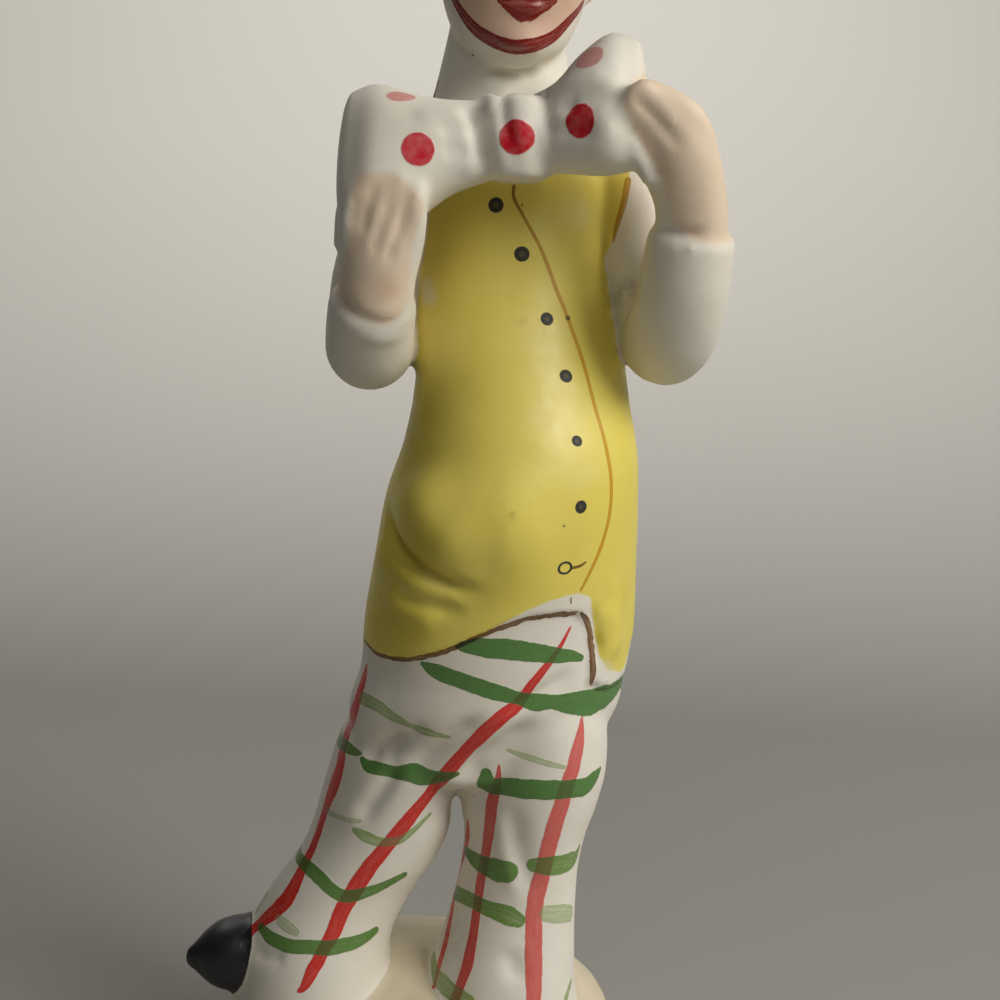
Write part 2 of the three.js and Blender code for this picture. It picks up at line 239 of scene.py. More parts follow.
# The hair's curls: how many are in a tuft, half the size of the tuft and of its core, and the back's rows
TUFT_CURLS = 34
TUFT = (3.4, 5.2, 4.7)
TUFT_CORE = (3.4, 5.2, 4.6)
CURL_ROWS = 5
ROW_CURLS = 10


def tuft(way):
    """Tight curls all round a core, over one ear."""
    middle = np.array([4.4 + way * 11.4, 3.6, CHIN + 20.0])
    wide, deep, high = TUFT
    golden = math.pi * (3 - math.sqrt(5))
    curls = [ball(*middle, *TUFT_CORE, 3)]
    for k in range(TUFT_CURLS):
        up = 1 - 2 * (k + 0.5) / TUFT_CURLS
        flat = math.sqrt(1 - up * up)
        x, y = flat * math.cos(golden * k), flat * math.sin(golden * k)
        size = 1.35 + 0.25 * math.sin(5.1 * k)
        curls.append(ball(*(middle + (wide * x, deep * y, high * up)), size, size, size, 2))
    return curls


def back_curls():
    """Shorter curls in rows round the back of the head."""
    curls = []
    for row in range(CURL_ROWS):
        wide = 11.6 - 0.5 * abs(row - 3)
        for k in range(ROW_CURLS):
            around = math.radians(18 + 144 * (k + 0.5 * (row % 2)) / ROW_CURLS)
            x, y = 4.5 + wide * math.cos(around), 0.4 + (wide + 0.9) * math.sin(around)
            size = 1.75 + 0.2 * math.sin(3.7 * k + row)
            curls.append(ball(x, y, CHIN + 11.5 + 2.9 * row, size, size, size, 2))
    return curls


def hair():
    return both(*tuft(-1), *tuft(1), *back_curls())


def hat_place():
    lean = Matrix.Rotation(math.radians(HAT["tilt"]), 3, "X").transposed()
    lean = np.array(lean @ Matrix.Rotation(math.radians(-HAT["tilt"]), 3, "Y"))
    return lean, np.array([HAT["x"], HAT["y"], HAT["z"]])


def hat():
    """A small round-topped hat, worn a little to the back and to one side."""
    brim, crown, rise = (HAT[key] for key in ("brim", "crown", "height"))
    under, sides = -4, 72
    profile = [
        (brim - 3, under),
        (brim - 0.8, -0.9),
        (brim, 0.1),
        (brim - 0.6, 1.1),
        (crown + 1.2, 0.7),
        (crown + 0.45, 1.3),
        (crown + 0.35, 3.0),
        (crown - 0.1, 3.3),
        (crown - 0.3, rise * 0.5),
        (crown - 1.6, rise * 0.8),
        (crown * 0.5, rise * 0.97),
    ]
    lean, place = hat_place()
    turns = np.arange(sides) * 2 * math.pi / sides
    rings = [
        np.stack([r * np.cos(turns), r * np.sin(turns), np.full(sides, h)], 1) @ lean.T + place
        for r, h in refine(profile, 4)
    ]
    return closed(rings, lean @ (0, 0, under) + place, lean @ (0, 0, rise) + place)


def right_sleeve():
    upper = [
        (-3.0, 3.2, SHOULDER + 0.5, 6.6, 7.0),
        (-9.6, 2.8, SHOULDER - 4.5, 7.8, 7.6),
        (-14.4, 0.8, 134, 7.4, 7.6),
        (-15.0, -3.4, 124, 7.1, 7.4),
    ]
    fore = [
        (-15.0, -5.0, 123.2, 7.0, 7.0),
        (-14.8, -10.6, 123.2, 6.9, 6.9),
        (-14.5, -14.8, 126.6, 6.8, 6.6),
        (-14.1, -18.0, 130.4, 6.7, 6.2),
    ]
    return both(loft(upper, start=4, end=6.4), loft(fore, face=UP, start=5.5, end=0.8))


def left_sleeve():
    upper = [
        (17.0, 3.4, SHOULDER + 0.5, 6.6, 7.0),
        (23.8, 2.8, SHOULDER - 4.5, 7.8, 7.6),
        (28.6, 0.6, 137, 7.6, 7.8),
        (31.6, -2.6, 127, 7.2, 7.6),
    ]
    fore = [
        (31.6, -4.0, 125.6, 7.2, 7.0),
        (32.4, -9.6, 128.4, 7.2, 7.2),
        (33.2, -14.2, 135.0, 7.1, 6.9),
        (33.8, -16.6, 142.6, 6.7, 6.3),
    ]
    return both(loft(upper, start=4, end=6.6), loft(fore, face=UP, start=5.8, end=0.8))


def hand(palm, tips, across, thumb):
    """A palm on a short wrist, and four fingers side by side over the end of the bow."""
    root, knuckle = palm[-3:-1]
    bodies = [loft(palm, end=3), loft(thumb, sides=24, start=1, end=2)]
    for i, tip in enumerate(tips):
        share = (i / (len(tips) - 1) - 0.5) * (HAND_WIDTH - 2 * FINGER)
        joints = [
            (at[0] + share * across[0], at[1] - ahead, at[2] + share * across[1], FINGER, FINGER)
            for at, ahead in ((root, 1.2), (knuckle, 1.7))
        ]
        end = (*tip, FINGER * 0.9, FINGER * 0.9)
        bodies.append(loft([*joints, end], sides=24, start=1, end=1.6))
    return both(*bodies)


def right_hand():
    palm = [
        (-13.8, -18.8, 128.5, 5.9, 5.2),
        (-13.5, -20.0, 134.0, 5.9, 4.9),
        (-13.0, -21.2, 139.5, 6.4, 4.6),
        (-12.6, -21.8, 144.5, 6.2, 4.2),
        (-12.3, -22.0, 147.0, 5.4, 3.6),
    ]
    tips = [(-16.2, -23.6, 147.4), (-13.5, -24.0, 149.0), (-10.7, -24.0, 149.0), (-8.1, -23.6, 147.4)]
    thumb = [
        (-18.2, -16.6, 138.0, 2.2, 2.2),
        (-18.6, -13.6, 144.0, 2.0, 2.0),
        (-16.2, -12.0, 148.0, 1.8, 1.8),
    ]
    return hand(palm, tips, (1, 0), thumb)


def left_hand():
    palm = [
        (33.8, -16.6, 141.5, 5.6, 5.2),
        (33.0, -18.6, 148.0, 5.5, 4.9, -6),
        (30.8, -20.6, 153.6, 6.0, 4.6, -14),
        (27.8, -21.8, 158.0, 5.9, 4.2, -22),
        (25.6, -22.6, 160.6, 4.8, 3.7, -28),
    ]
    tips = [(22.2, -24.2, 161.4), (23.2, -24.8, 162.6), (24.4, -24.8, 163.4), (25.8, -24.0, 163.2)]
    thumb = [
        (34.6, -14.8, 149.5, 2.2, 2.2),
        (31.0, -13.0, 154.0, 2.0, 2.0),
        (25.4, -12.6, 157.5, 1.8, 1.8),
    ]
    return hand(palm, tips, (0.80, 0.56), thumb)


def bow():
    """Two puffed lobes that widen away from the knot, the figure's left one raised."""
    rows = [
        (-18.6, -17.2, 151.2, 11.0, 4.8, -24, 2.6),
        (-14.8, -17.6, 151.6, 11.8, 6.8, -26, 2.4),
        (-8.4, -17.6, 152.0, 9.6, 6.8, -18, 2.2),
        (-2.6, -17.4, 154.0, 7.0, 5.6, -5, 2.2),
        (KNOT["x"], -17.0, 156.0, 5.8, 4.6, 0, 2.2),
        (11.4, -17.4, 157.4, 6.6, 5.4, -10, 2.2),
        (15.4, -17.8, 159.8, 9.1, 6.4, -20, 2.3),
        (19.6, -18.0, 161.4, 11.1, 6.8, -27, 2.4),
        (23.4, -18.0, 161.6, 10.7, 5.0, -27, 2.6),
    ]
    return loft(rows, sides=72, facing=LEFT, start=1.8, end=2.2)


def knot():
    wide, deep, high = (KNOT[key] / 2 for key in ("width", "depth", "height"))
    x, y, z = (KNOT[key] for key in "xyz")
    rows = [
        (x + 0.4, y, z - high + 1, wide, deep, 0, 2.6),
        (x, y - 0.6, z, wide * 0.96, deep * 1.04, 0, 2.6),
        (x - 0.2, y, z + high - 1, wide, deep, 0, 2.6),
    ]
    return loft(rows, facing=UP, start=1, end=1)


def trouser_legs():
    right = [
        (-20.2, -1.6, SOLE, 13.4, 13.0, 8),
        (-20.4, -1.8, ANKLE - 2, 12.5, 12.2, 8),
        (-19.2, -1.6, ANKLE + 4, 11.9, 11.4, 8),
        (-16.0, -1.2, KNEE - 5.5, 11.6, 10.6, 10),
        (-12.3, -0.8, KNEE, 11.4, 10.8, 10),
        (-10.1, -0.4, KNEE + 5.5, 11.3, 11.4, 12),
        (-9.0, 0.0, CROTCH, 10.8, 12.8, 14),
        (-4.2, 0.4, CROTCH + 9, 13.0, 14.4, 18),
        (1.6, 0.6, HIP - 5, 13.8, 14.6, 22),
    ]
    left = [
        (10.4, -2.0, SOLE - 1, 14.0, 13.6, 0),
        (11.1, -1.9, ANKLE - 3, 12.3, 12.2, 0),
        (12.0, -1.6, ANKLE + 4.5, 10.9, 10.8, 0),
        (12.7, -1.2, KNEE - 5.5, 10.1, 10.2, 4),
        (13.2, -0.8, KNEE, 9.7, 10.4, 8),
        (13.7, -0.4, KNEE + 5.5, 10.0, 11.2, 12),
        (14.0, 0.0, CROTCH, 11.6, 12.6, 16),
        (14.0, 0.4, CROTCH + 9, 13.2, 14.2, 20),
        (12.2, 0.6, HIP - 5, 13.8, 14.6, 24),
    ]
    return both(*(loft(leg, sides=64, facing=UP, start=2, end=4) for leg in (right, left)))


def shoe(x, y, z, heading, reach, wide, high, lift):
    """A pointed shoe. Heading is where its toe points, in degrees from the front to the figure's left."""
    angle = math.radians(heading)
    right, back = reach * math.sin(angle), -reach * math.cos(angle)
    rows = [
        (x, y, z + high, wide, high),
        (x + 0.55 * right, y + 0.55 * back, z + high * 0.97, wide, high * 0.97),
        (x + 0.82 * right, y + 0.82 * back, z + high * 0.88 + lift * 0.4, wide * 0.76, high * 0.74),
        (x + right, y + back, z + high * 0.8 + lift, wide * 0.28, high * 0.28),
    ]
    return loft(rows, face=UP, start=3, end=1.2)


def shoes():
    return both(
        shoe(-22.0, -1.2, SOLE + 2.8, -80, reach=18.4, wide=6.4, high=6.8, lift=0.6),
        shoe(12.6, -6.4, SOLE - 4.6, 22, reach=21.4, wide=6.8, high=4.6, lift=-0.4),
    )


def mound():
    """The mound that carries the figure: low in front, higher behind the legs, flat underneath."""
    wide, deep, high = BASE["width"] / 2, BASE["depth"] / 2, BASE["height"]
    x, y = BASE["x"], BASE["y"]
    rows = [
        (x, y, 0, wide - 1.2, deep - 1.2),
        (x, y, 1.6, wide, deep),
        (x, y, high * 0.26, wide - 0.2, deep - 0.4),
        (x + 0.3, y + 1.0, high * 0.42, wide * 0.92, deep * 0.9),
        (x + 0.8, y + 5.2, high * 0.6, wide * 0.85, deep * 0.7),
        (x + 0.8, y + 7.6, high * 0.8, wide * 0.72, deep * 0.54),
        (x + 0.2, y + 9.4, high * 0.95, wide * 0.45, deep * 0.3),
    ]
    return loft(rows, sides=96, facing=UP, start=0, end=1.1)


# Where marks land: from the picture's camera, or straight on from one side

# How many steps a path has between two marks, and how close two of its points are taken for one
MARK_STEPS = 6
SAME_POINT = 0.05


def camera_axes():
    ahead = np.array([0, math.cos(PITCH), -math.sin(PITCH)])
    above = np.cross(LEFT, ahead)
    right = LEFT * math.cos(ROLL) + above * math.sin(ROLL)
    up = above * math.cos(ROLL) - LEFT * math.sin(ROLL)
    return right, up, ahead


def picture_place(points):
    """Where points show in the picture, in its pixels."""
    right, up, ahead = camera_axes()
    away = points - EYE
    depth = away @ ahead
    x = PICTURE / 2 + FOCAL * (away @ right) / depth
    y = PICTURE / 2 - FOCAL * (away @ up) / depth
    return np.stack([x, y], 1)


def in_picture(x, y):
    """The ray of a pixel, and how many millimetres a pixel is at one millimetre of distance."""
    right, up, ahead = camera_axes()
    way = ahead + right * (x - PICTURE / 2) / FOCAL + up * (PICTURE / 2 - y) / FOCAL
    return EYE, unit(way), 1 / FOCAL


def from_side(azimuth, middle=(0.0, 0.0)):
    """A straight view: marks are millimetres to the right of the middle, and height.
    The azimuth is 0 from the front and 180 from the back."""
    turn = math.radians(azimuth)
    ahead = np.array([-math.sin(turn), math.cos(turn), 0])
    right = np.array([math.cos(turn), math.sin(turn), 0])

    def ray(x, z):
        return np.array([*middle, z]) + right * x - ahead * FAR, ahead, 0

    return ray


def landed(tree, view, marks):
    """The marks as points on the surface, with the normals there and what each mark says after its place:
    a width in the view's own units, which comes back in millimetres, and maybe a strength.
    A mark just beside the outline goes to the surface nearest to it."""
    points, normals, values = [], [], []
    for mark in marks:
        start, way, spread = view(mark[0], mark[1])
        hit, normal, _, distance = tree.ray_cast(Vector(start), Vector(way))
        if hit is None:
            distance = -start @ way
            hit, normal, _, gap = tree.find_nearest(Vector(start + way * distance), BESIDE)
        if hit is not None:
            unit_size = distance * spread if spread else 1
            points.append(hit)
            normals.append(normal)
            values.append([mark[2] * unit_size, *mark[3:]] if len(mark) > 2 else [0])
    return np.array(points), np.array(normals), np.array(values)


class Cast:
    """The figure's surface as arrays: points, the corners of its four-sided faces, and normals."""

    def __init__(self, mesh):
        self.mesh = mesh
        count = len(mesh.vertices)
        points = np.empty(count * 3)
        mesh.vertices.foreach_get("co", points)
        self.points = points.reshape(-1, 3)
        corners = np.empty(len(mesh.loops), np.int64)
        mesh.loops.foreach_get("vertex_index", corners)
        self.quads = corners.reshape(-1, 4)
        edges = np.empty(len(mesh.edges) * 2, np.int64)
        mesh.edges.foreach_get("vertices", edges)
        self.edges = edges.reshape(-1, 2)
        ends = self.edges.ravel()
        self.neighbours = np.bincount(ends, minlength=count)
        self.update()

    def update(self):
        """Normals and the search tree, after the points have moved."""
        a, b, c, d = (self.points[self.quads[:, k]] for k in range(4))
        face = np.cross(c - a, d - b)
        self.normals = unit(np.stack([self.gathered(face[:, k]) for k in range(3)], 1))
        self.tree = BVHTree.FromPolygons(self.points.tolist(), self.quads.tolist())

    def gathered(self, values):
        """Adds a value of each face to every point of it."""
        return sum(np.bincount(self.quads[:, k], values, len(self.points)) for k in range(4))

    def averaged(self, values):
        """The mean of the values at each point's neighbours."""
        a, b = self.edges.T
        count = len(values)
        total = np.bincount(a, values[b], count) + np.bincount(b, values[a], count)
        return total / self.neighbours

    def softened(self, values, rounds):
        for _ in range(rounds):
            values = 0.5 * (values + self.averaged(values))
        return values

    def relax(self, rounds, share):
        """Rounds off what is sharper than the slip would leave it, without shrinking the rest."""
        for _ in range(rounds):
            for pull in (0.55, -0.57):
                mean = np.stack([self.averaged(self.points[:, k]) for k in range(3)], 1)
                self.points += pull * share[:, None] * (mean - self.points)

    def keep(self, name, values, domain="POINT"):
        kind, slot = ("FLOAT", "value") if values.ndim == 1 else ("FLOAT_VECTOR", "vector")
        made = self.mesh.attributes.new(name, kind, domain)
        made.data.foreach_set(slot, values.astype(np.float32).ravel())


def placed(name, data):
    made = bpy.data.objects.new(name, data)
    bpy.context.scene.collection.objects.link(made)
    return made


def slip_cast(bodies):
    """One skin over all the bodies, with no walls left where they run into each other."""
    points, faces = both(*bodies)
    rough = bpy.data.meshes.new("rough")
    rough.from_pydata(points.tolist(), [], faces)
    carrier = placed("rough", rough)
    skin = carrier.modifiers.new("skin", "REMESH")
    skin.mode = "VOXEL"
    skin.voxel_size = GRAIN
    graph = bpy.context.evaluated_depsgraph_get()
    mesh = bpy.data.meshes.new_from_object(carrier.evaluated_get(graph))
    bpy.data.objects.remove(carrier)
    mesh.name = NODE
    return Cast(mesh)


def distance_to(body, points, reach):
    """How far each point is from a body's surface, or reach where it is further."""
    own, faces = body
    tree = BVHTree.FromPolygons(own.tolist(), faces)
    low, high = own.min(0) - reach, own.max(0) + reach
    near = np.flatnonzero(((points > low) & (points < high)).all(1))
    found = np.full(len(points), reach)
    for i in near:
        distance = tree.find_nearest(Vector(points[i]), reach)[3]
        if distance is not None:
            found[i] = distance
    return found


def along_path(cast, path, path_normals, reach):
    """For the points within reach of a path: which they are, how far across it, how far past an end,
    how far along it, and the share of the segment that they lie beside."""
    low, high = path.min(0) - reach, path.max(0) + reach
    near = np.flatnonzero(((cast.points > low) & (cast.points < high)).all(1))
    own = cast.points[near]
    ways = path[1:] - path[:-1]
    lengths = np.linalg.norm(ways, axis=1)
    ways = ways / lengths[:, None]
    starts = np.concatenate([[0], np.cumsum(lengths)])
    away = own[:, None] - path[None, :-1]
    free = np.einsum("vsk,sk->vs", away, ways)
    held = np.clip(free, 0, lengths)
    gap = away - held[..., None] * ways
    best = np.einsum("vsk,vsk->vs", gap, gap).argmin(1)
    rows = np.arange(len(near))
    way = ways[best]
    side = unit(np.cross(path_normals[best], way))
    past = free[rows, best] - held[rows, best]
    offset = gap[rows, best] - past[:, None] * way
    across = np.einsum("vk,vk->v", offset, side)
    facing = np.einsum("vk,vk->v", cast.normals[near], path_normals[best])
    fit = (np.linalg.norm(gap[rows, best], axis=1) < reach) & (facing > 0.1)
    at = best + held[rows, best] / lengths[best]
    return near[fit], across[fit], past[fit], (starts[best] + held[rows, best])[fit], at[fit]


def laid(cast, view, marks):
    """A line of marks as a smooth path on the surface, with its normals and its widths in millimetres."""
    points, normals, values = landed(cast.tree, view, refine(marks, MARK_STEPS))
    apart = np.linalg.norm(np.diff(points, axis=0), axis=1)
    fresh = np.concatenate([[True], apart > SAME_POINT])
    return points[fresh], unit(normals[fresh]), values[fresh]


# Modelled relief. Each fold: height in millimetres, width in millimetres, and its marks

FOLDS = [
    # The vest over the belly
    (1.9, 5.5, [(416, 462), (420, 504), (434, 530), (458, 549), (494, 562)]),
    (1.5, 7.0, [(440, 520), (500, 540), (570, 530)]),
    (0.7, 2.6, [(374, 530), (382, 556), (398, 574), (424, 590), (446, 596)]),
    (-1.7, 1.3, [(388, 500), (392, 530), (402, 550), (418, 565), (440, 579), (464, 588), (490, 594)]),
    (-0.7, 1.2, [(394, 588), (412, 599), (427, 604), (445, 609), (470, 615)]),
    (0.6, 1.9, [(382, 594), (402, 609), (418, 618), (446, 627)]),
    # The trousers, and the groove beside the flap
    (-1.0, 1.4, [(360, 764), (385, 744), (406, 728)]),
    (-0.9, 1.4, [(380, 757), (401, 741), (430, 724)]),
    (-1.1, 1.5, [(403, 770), (436, 749), (462, 731), (490, 715)]),
    (-1.1, 1.8, [(454, 786), (471, 771), (482, 759), (502, 746), (521, 732), (544, 717)]),
    (-0.6, 1.3, [(500, 716), (530, 700), (558, 682), (574, 666)]),
    (-1.1, 1.6, [(352, 824), (372, 804), (387, 782), (404, 757)]),
    (0.5, 1.7, [(500, 797), (502, 830), (506, 856), (515, 882), (525, 910)]),
    (-0.7, 2.2, [(512, 800), (514, 834), (519, 859), (525, 882), (531, 905)]),
    (-0.6, 1.8, [(508, 945), (512, 962), (521, 988)]),
    (-0.5, 1.2, [(253, 955), (270, 957), (288, 958)]),
    (-0.8, 1.1, [(590, 602), (597, 640), (599, 672)]),
    # The bow: round the knot, on the knot, and on the two lobes
    (-0.9, 1.0, [(478, 66), (497, 72), (520, 74), (540, 65), (556, 50)]),
    (-1.0, 1.2, [(467, 104), (474, 124), (480, 148), (485, 174)]),
    (-0.8, 1.1, [(501, 92), (503, 115), (508, 136), (513, 156), (516, 176)]),
    (-0.9, 1.0, [(544, 88), (547, 112), (549, 140), (546, 168)]),
    (0.6, 1.6, [(483, 98), (489, 107), (494, 120)]),
    (-0.4, 1.2, [(468, 122), (452, 128), (436, 134)]),
    (-0.35, 1.2, [(472, 146), (458, 150), (440, 155)]),
    (0.35, 1.6, [(468, 112), (440, 111), (410, 118)]),
    (-0.5, 1.2, [(549, 108), (562, 107), (580, 106)]),
    (-0.5, 1.2, [(549, 132), (565, 132), (600, 128)]),
    (-0.5, 1.6, [(556, 104), (580, 97), (605, 92), (618, 88)]),
    (0.4, 1.8, [(552, 90), (580, 80), (612, 70)]),
    # The left hand's fingers and cuff, then the right hand's
    (-0.55, 0.9, [(629, 90), (643, 106), (655, 118), (668, 133), (676, 143), (683, 154)]),
    (-0.6, 1.3, [(621, 104), (630, 124), (641, 142), (650, 158), (657, 176), (666, 198)]),
    (-0.5, 0.9, [(658, 222), (668, 229), (682, 233), (696, 233), (709, 236)]),
    (-0.3, 0.9, [(357, 192), (354, 212), (351, 232)]),
    (-0.45, 0.8, [(378, 177), (371, 197), (366, 213), (362, 240)]),
    (-0.45, 0.8, [(394, 190), (386, 214), (379, 234), (373, 266)]),
    (-0.45, 0.8, [(407, 206), (399, 231), (391, 249), (387, 270)]),
    (-0.7, 1.1, [(334, 290), (346, 306), (361, 318), (378, 324), (394, 323), (405, 314), (410, 294)]),
    (0.5, 1.6, [(330, 306), (342, 322), (358, 332), (378, 338), (398, 334), (412, 320)]),
    # Between the lips
    (-0.5, 0.7, [(500, -2), (526, -1), (555, -3)]),
]
BACK_FOLDS = [
    (-0.6, 1.6, [(-20, 76), (-12, 70), (-2, 68)]),
    (-0.5, 1.4, [(4, 72), (10, 66), (17, 63)]),
    (-0.5, 1.3, [(14, 44), (9, 50), (2, 54)]),
    (-0.5, 1.3, [(-8, 42), (-13, 47), (-20, 49)]),
    (-0.6, 1.5, [(-14, 122), (-7, 119), (1, 118)]),
    (-0.5, 1.3, [(-10, 108), (-2, 106), (6, 108)]),
]
FLAP_SWELL = [(0.8, 2.6, [(610, 596), (613, 630), (611, 668)])]

# Soft swellings and hollows of the face: millimetres to the right of its middle, height,
# half its width and half its height, and how far it stands out
FACE_PADS = [
    *[(way * 4.3, CHIN + 19.4, 3.0, 2.3, -0.9) for way in (-1, 1)],
    *[(way * 4.3, CHIN + 19.2, 1.8, 1.4, 0.6) for way in (-1, 1)],
    *[(way * 6.0, CHIN + 12.0, 3.6, 3.0, 0.7) for way in (-1, 1)],
    (0.0, CHIN + 23.2, 6.5, 1.5, 0.4),
    (0.0, CHIN + 18.4, 1.3, 3.2, 0.8),
    (0.0, CHIN + 11.6, 3.4, 0.9, 0.5),
    (0.0, CHIN + 8.6, 3.2, 1.1, 0.6),
    (0.0, CHIN + 3.0, 3.6, 2.2, 1.1),
]


# How many widths away a fold still moves the surface, and how far behind its middle a swelling does
FOLD_REACH = 3
PAD_DEPTH = 8


def press_folds(cast, view, folds):
    """A fold is as high all along as it says, and runs out towards both its ends."""
    for height, width, marks in folds:
        path, normals, _ = laid(cast, view, marks)
        near, across, past, along, _ = along_path(cast, path, normals, width * FOLD_REACH)
        length = along.max()
        taper = max(width * 1.6, length * 0.3)
        ends = step(0, taper, along + past.clip(max=0)) * step(0, taper, length - along - past.clip(min=0))
        lift = height * np.exp(-((across / width) ** 2)) * ends
        cast.points[near] += cast.normals[near] * lift[:, None]


def level_and_up(normal):
    """The level direction and the upward one on a surface with this normal."""
    side = unit(np.cross(UP, normal))
    return side, np.cross(normal, side)


def press_pads(cast, view, pads):
    for x, z, wide, tall, height in pads:
        points, normals, _ = landed(cast.tree, view, [(x, z)])
        away = cast.points - points[0]
        side, top = level_and_up(normals[0])
        u, v = away @ side / wide, away @ top / tall
        near = (cast.normals @ normals[0] > 0) * (np.abs(away @ normals[0]) < PAD_DEPTH)
        lift = height * np.exp(-(u * u) - v * v) * near
        cast.points += cast.normals * lift[:, None]


# The vest's hem from the figure's right hip over the front to the flap's bottom, and where its yellow stops

HEM = [
    (364, 639), (375, 651), (388, 657), (407, 659), (427, 656), (450, 649), (465, 642), (484, 634),
    (503, 626), (522, 620), (541, 616), (560, 614), (578, 613), (585, 618), (589, 627), (591, 640),
    (593, 656), (593, 673), (591, 683), (612, 689), (626, 674), (634, 655), (638, 637),
]
YELLOW_EDGE = [
    (364, 641), (375, 653), (388, 658), (407, 660), (427, 657), (450, 650), (465, 643), (488, 632),
    (514, 617), (532, 608), (549, 601), (566, 596), (578, 594), (590, 597), (592, 608), (595, 636),
    (599, 656), (608, 670), (620, 672), (627, 663), (633, 648), (637, 637),
]
SMILE = [
    (454, 0), (470, 24), (491, 40), (518, 48), (548, 40), (569, 21), (584, 0),
    (580, -22), (560, -29), (542, -22), (527, -19), (512, -23), (494, -31), (462, -22),
]
RIGHT_PEACH = [
    (354, 182), (365, 173), (385, 172), (402, 178), (417, 190), (424, 204), (418, 228), (411, 250),
    (410, 290), (403, 314), (390, 324), (376, 325), (360, 318), (345, 307), (332, 290), (345, 262),
    (349, 235), (350, 205),
]
LEFT_PEACH = [
    (660, 66), (640, 75), (629, 86), (621, 100), (627, 117), (638, 136), (648, 152), (655, 168),
    (662, 188), (669, 208), (675, 224), (684, 233), (697, 240), (714, 247), (735, 240), (745, 200),
    (745, 130), (700, 80),
]
# The yellow goes on over the top of the sleeve as far as the armhole's brown line
ARMHOLE = [(560, 150), (631, 165), (628, 182), (624, 204), (617, 227), (609, 250), (598, 266), (560, 266)]
ARMHOLE_FRONT = -14
# How far from the hands their peach may reach
HANDS_EDGE = 3
SIDE_MARGIN = 400


def inside(spots, outline):
    """How far inside a closed outline each spot lies, in the outline's units; negative outside."""
    outline = np.array(outline, float)
    a, b = outline, np.roll(outline, -1, 0)
    way = b - a
    away = spots[:, None] - a
    share = np.clip((away * way).sum(2) / (way * way).sum(1), 0, 1)
    distance = np.linalg.norm(away - share[..., None] * way, axis=2).min(1)
    x, y = spots[:, :1], spots[:, 1:]
    crosses = (a[:, 1] > y) != (b[:, 1] > y)
    rise = np.where(way[:, 1] == 0, 1e-9, way[:, 1])
    crosses &= x < a[:, 0] + (y - a[:, 1]) * way[:, 0] / rise
    return np.where(crosses.sum(1) % 2 == 1, distance, -distance)


def above_line(cast, line):
    """How far each point is above a line that the picture shows from side to side, in millimetres.
    Round the back the line goes on level from one side's height to the other's."""
    first, last = line[0], line[-1]
    left, right = first[0] - SIDE_MARGIN, last[0] + SIDE_MARGIN
    outline = [(left, first[1]), *line, (right, last[1]), (right, -SIDE_MARGIN), (left, -SIDE_MARGIN)]
    front = inside(picture_place(cast.points), outline) * PIXEL
    ends = []
    for mark in (first, last):
        start, way, _ = in_picture(*mark)
        ends.append(start - way * start[1] / way[1])
    level = np.interp(cast.points[:, 0], [e[0] for e in ends], [e[2] for e in ends])
    return front + (1 - seen(cast)) * (cast.points[:, 2] - level - front)


def as_shown(cast, outlines, behind):
    """How far inside an area each point is: by the picture's outlines in front, and as given behind."""
    spots = picture_place(cast.points)
    front = np.maximum.reduce([inside(spots, outline) for outline in outlines]) * PIXEL
    return behind + seen(cast) * (front - behind)


def seen(cast):
    """1 where the surface faces the picture's camera, 0 where it looks away."""
    facing = (cast.normals * unit(EYE - cast.points)).sum(1)
    return step(-0.1, 0.25, facing)


def set_trousers_back(cast):
    """The trousers lie under the vest: below the hem the surface is lower by the vest's thickness."""
    above = above_line(cast, HEM)
    high = cast.points[:, 2]
    drop = VEST_PROUD * (1 - step(-0.3, 0.3, above)) * step(CROTCH + 2, CROTCH + 10, high)
    drop *= (high < HIP + 16) * step(-15, -8, cast.points[:, 0])
    cast.points -= cast.normals * drop[:, None]
    cast.update()


# Brush strokes: how strong the colour is, and its marks with the stroke's width

RED = [
    (1.0, [(571, 626, 2), (557, 652, 6), (534, 682, 10), (516, 705, 14), (495, 723, 16), (470, 748, 15),
           (444, 776, 14), (424, 801, 14), (406, 823, 15), (387, 846, 14), (369, 868, 15), (356, 888, 16),
           (343, 909, 15), (334, 931, 14), (324, 950, 12), (313, 970, 12), (304, 987, 8), (299, 991, 4)]),
    (1.0, [(367, 664, 3), (364, 677, 12), (358, 697, 15), (350, 723, 16), (343, 747, 16), (340, 764, 17),
           (334, 784, 21), (327, 803, 15), (322, 820, 12), (313, 846, 12), (304, 864, 13), (292, 890, 17),
           (281, 905, 18), (266, 918, 15), (253, 929, 11), (242, 944, 7)]),
    (0.86, [(582, 715, 2), (581, 729, 8), (578, 748, 14), (573, 769, 15), (566, 790, 16), (559, 813, 17),
           (551, 840, 17), (544, 868, 16), (538, 891, 17), (534, 914, 16), (534, 935, 17), (534, 968, 17),
           (534, 1000, 15), (534, 1040, 8)]),
    (0.92, [(499, 765, 2), (498, 780, 7), (492, 803, 13), (489, 830, 13), (485, 857, 11), (480, 884, 11),
           (477, 907, 10), (473, 935, 10), (468, 962, 12), (461, 983, 10), (453, 1005, 10), (448, 1030, 5)]),
    (1.0, [(468, 821, 4), (467, 838, 12), (461, 864, 11), (455, 891, 11), (451, 914, 10), (446, 939, 10),
           (440, 962, 8), (434, 987, 4)]),
]
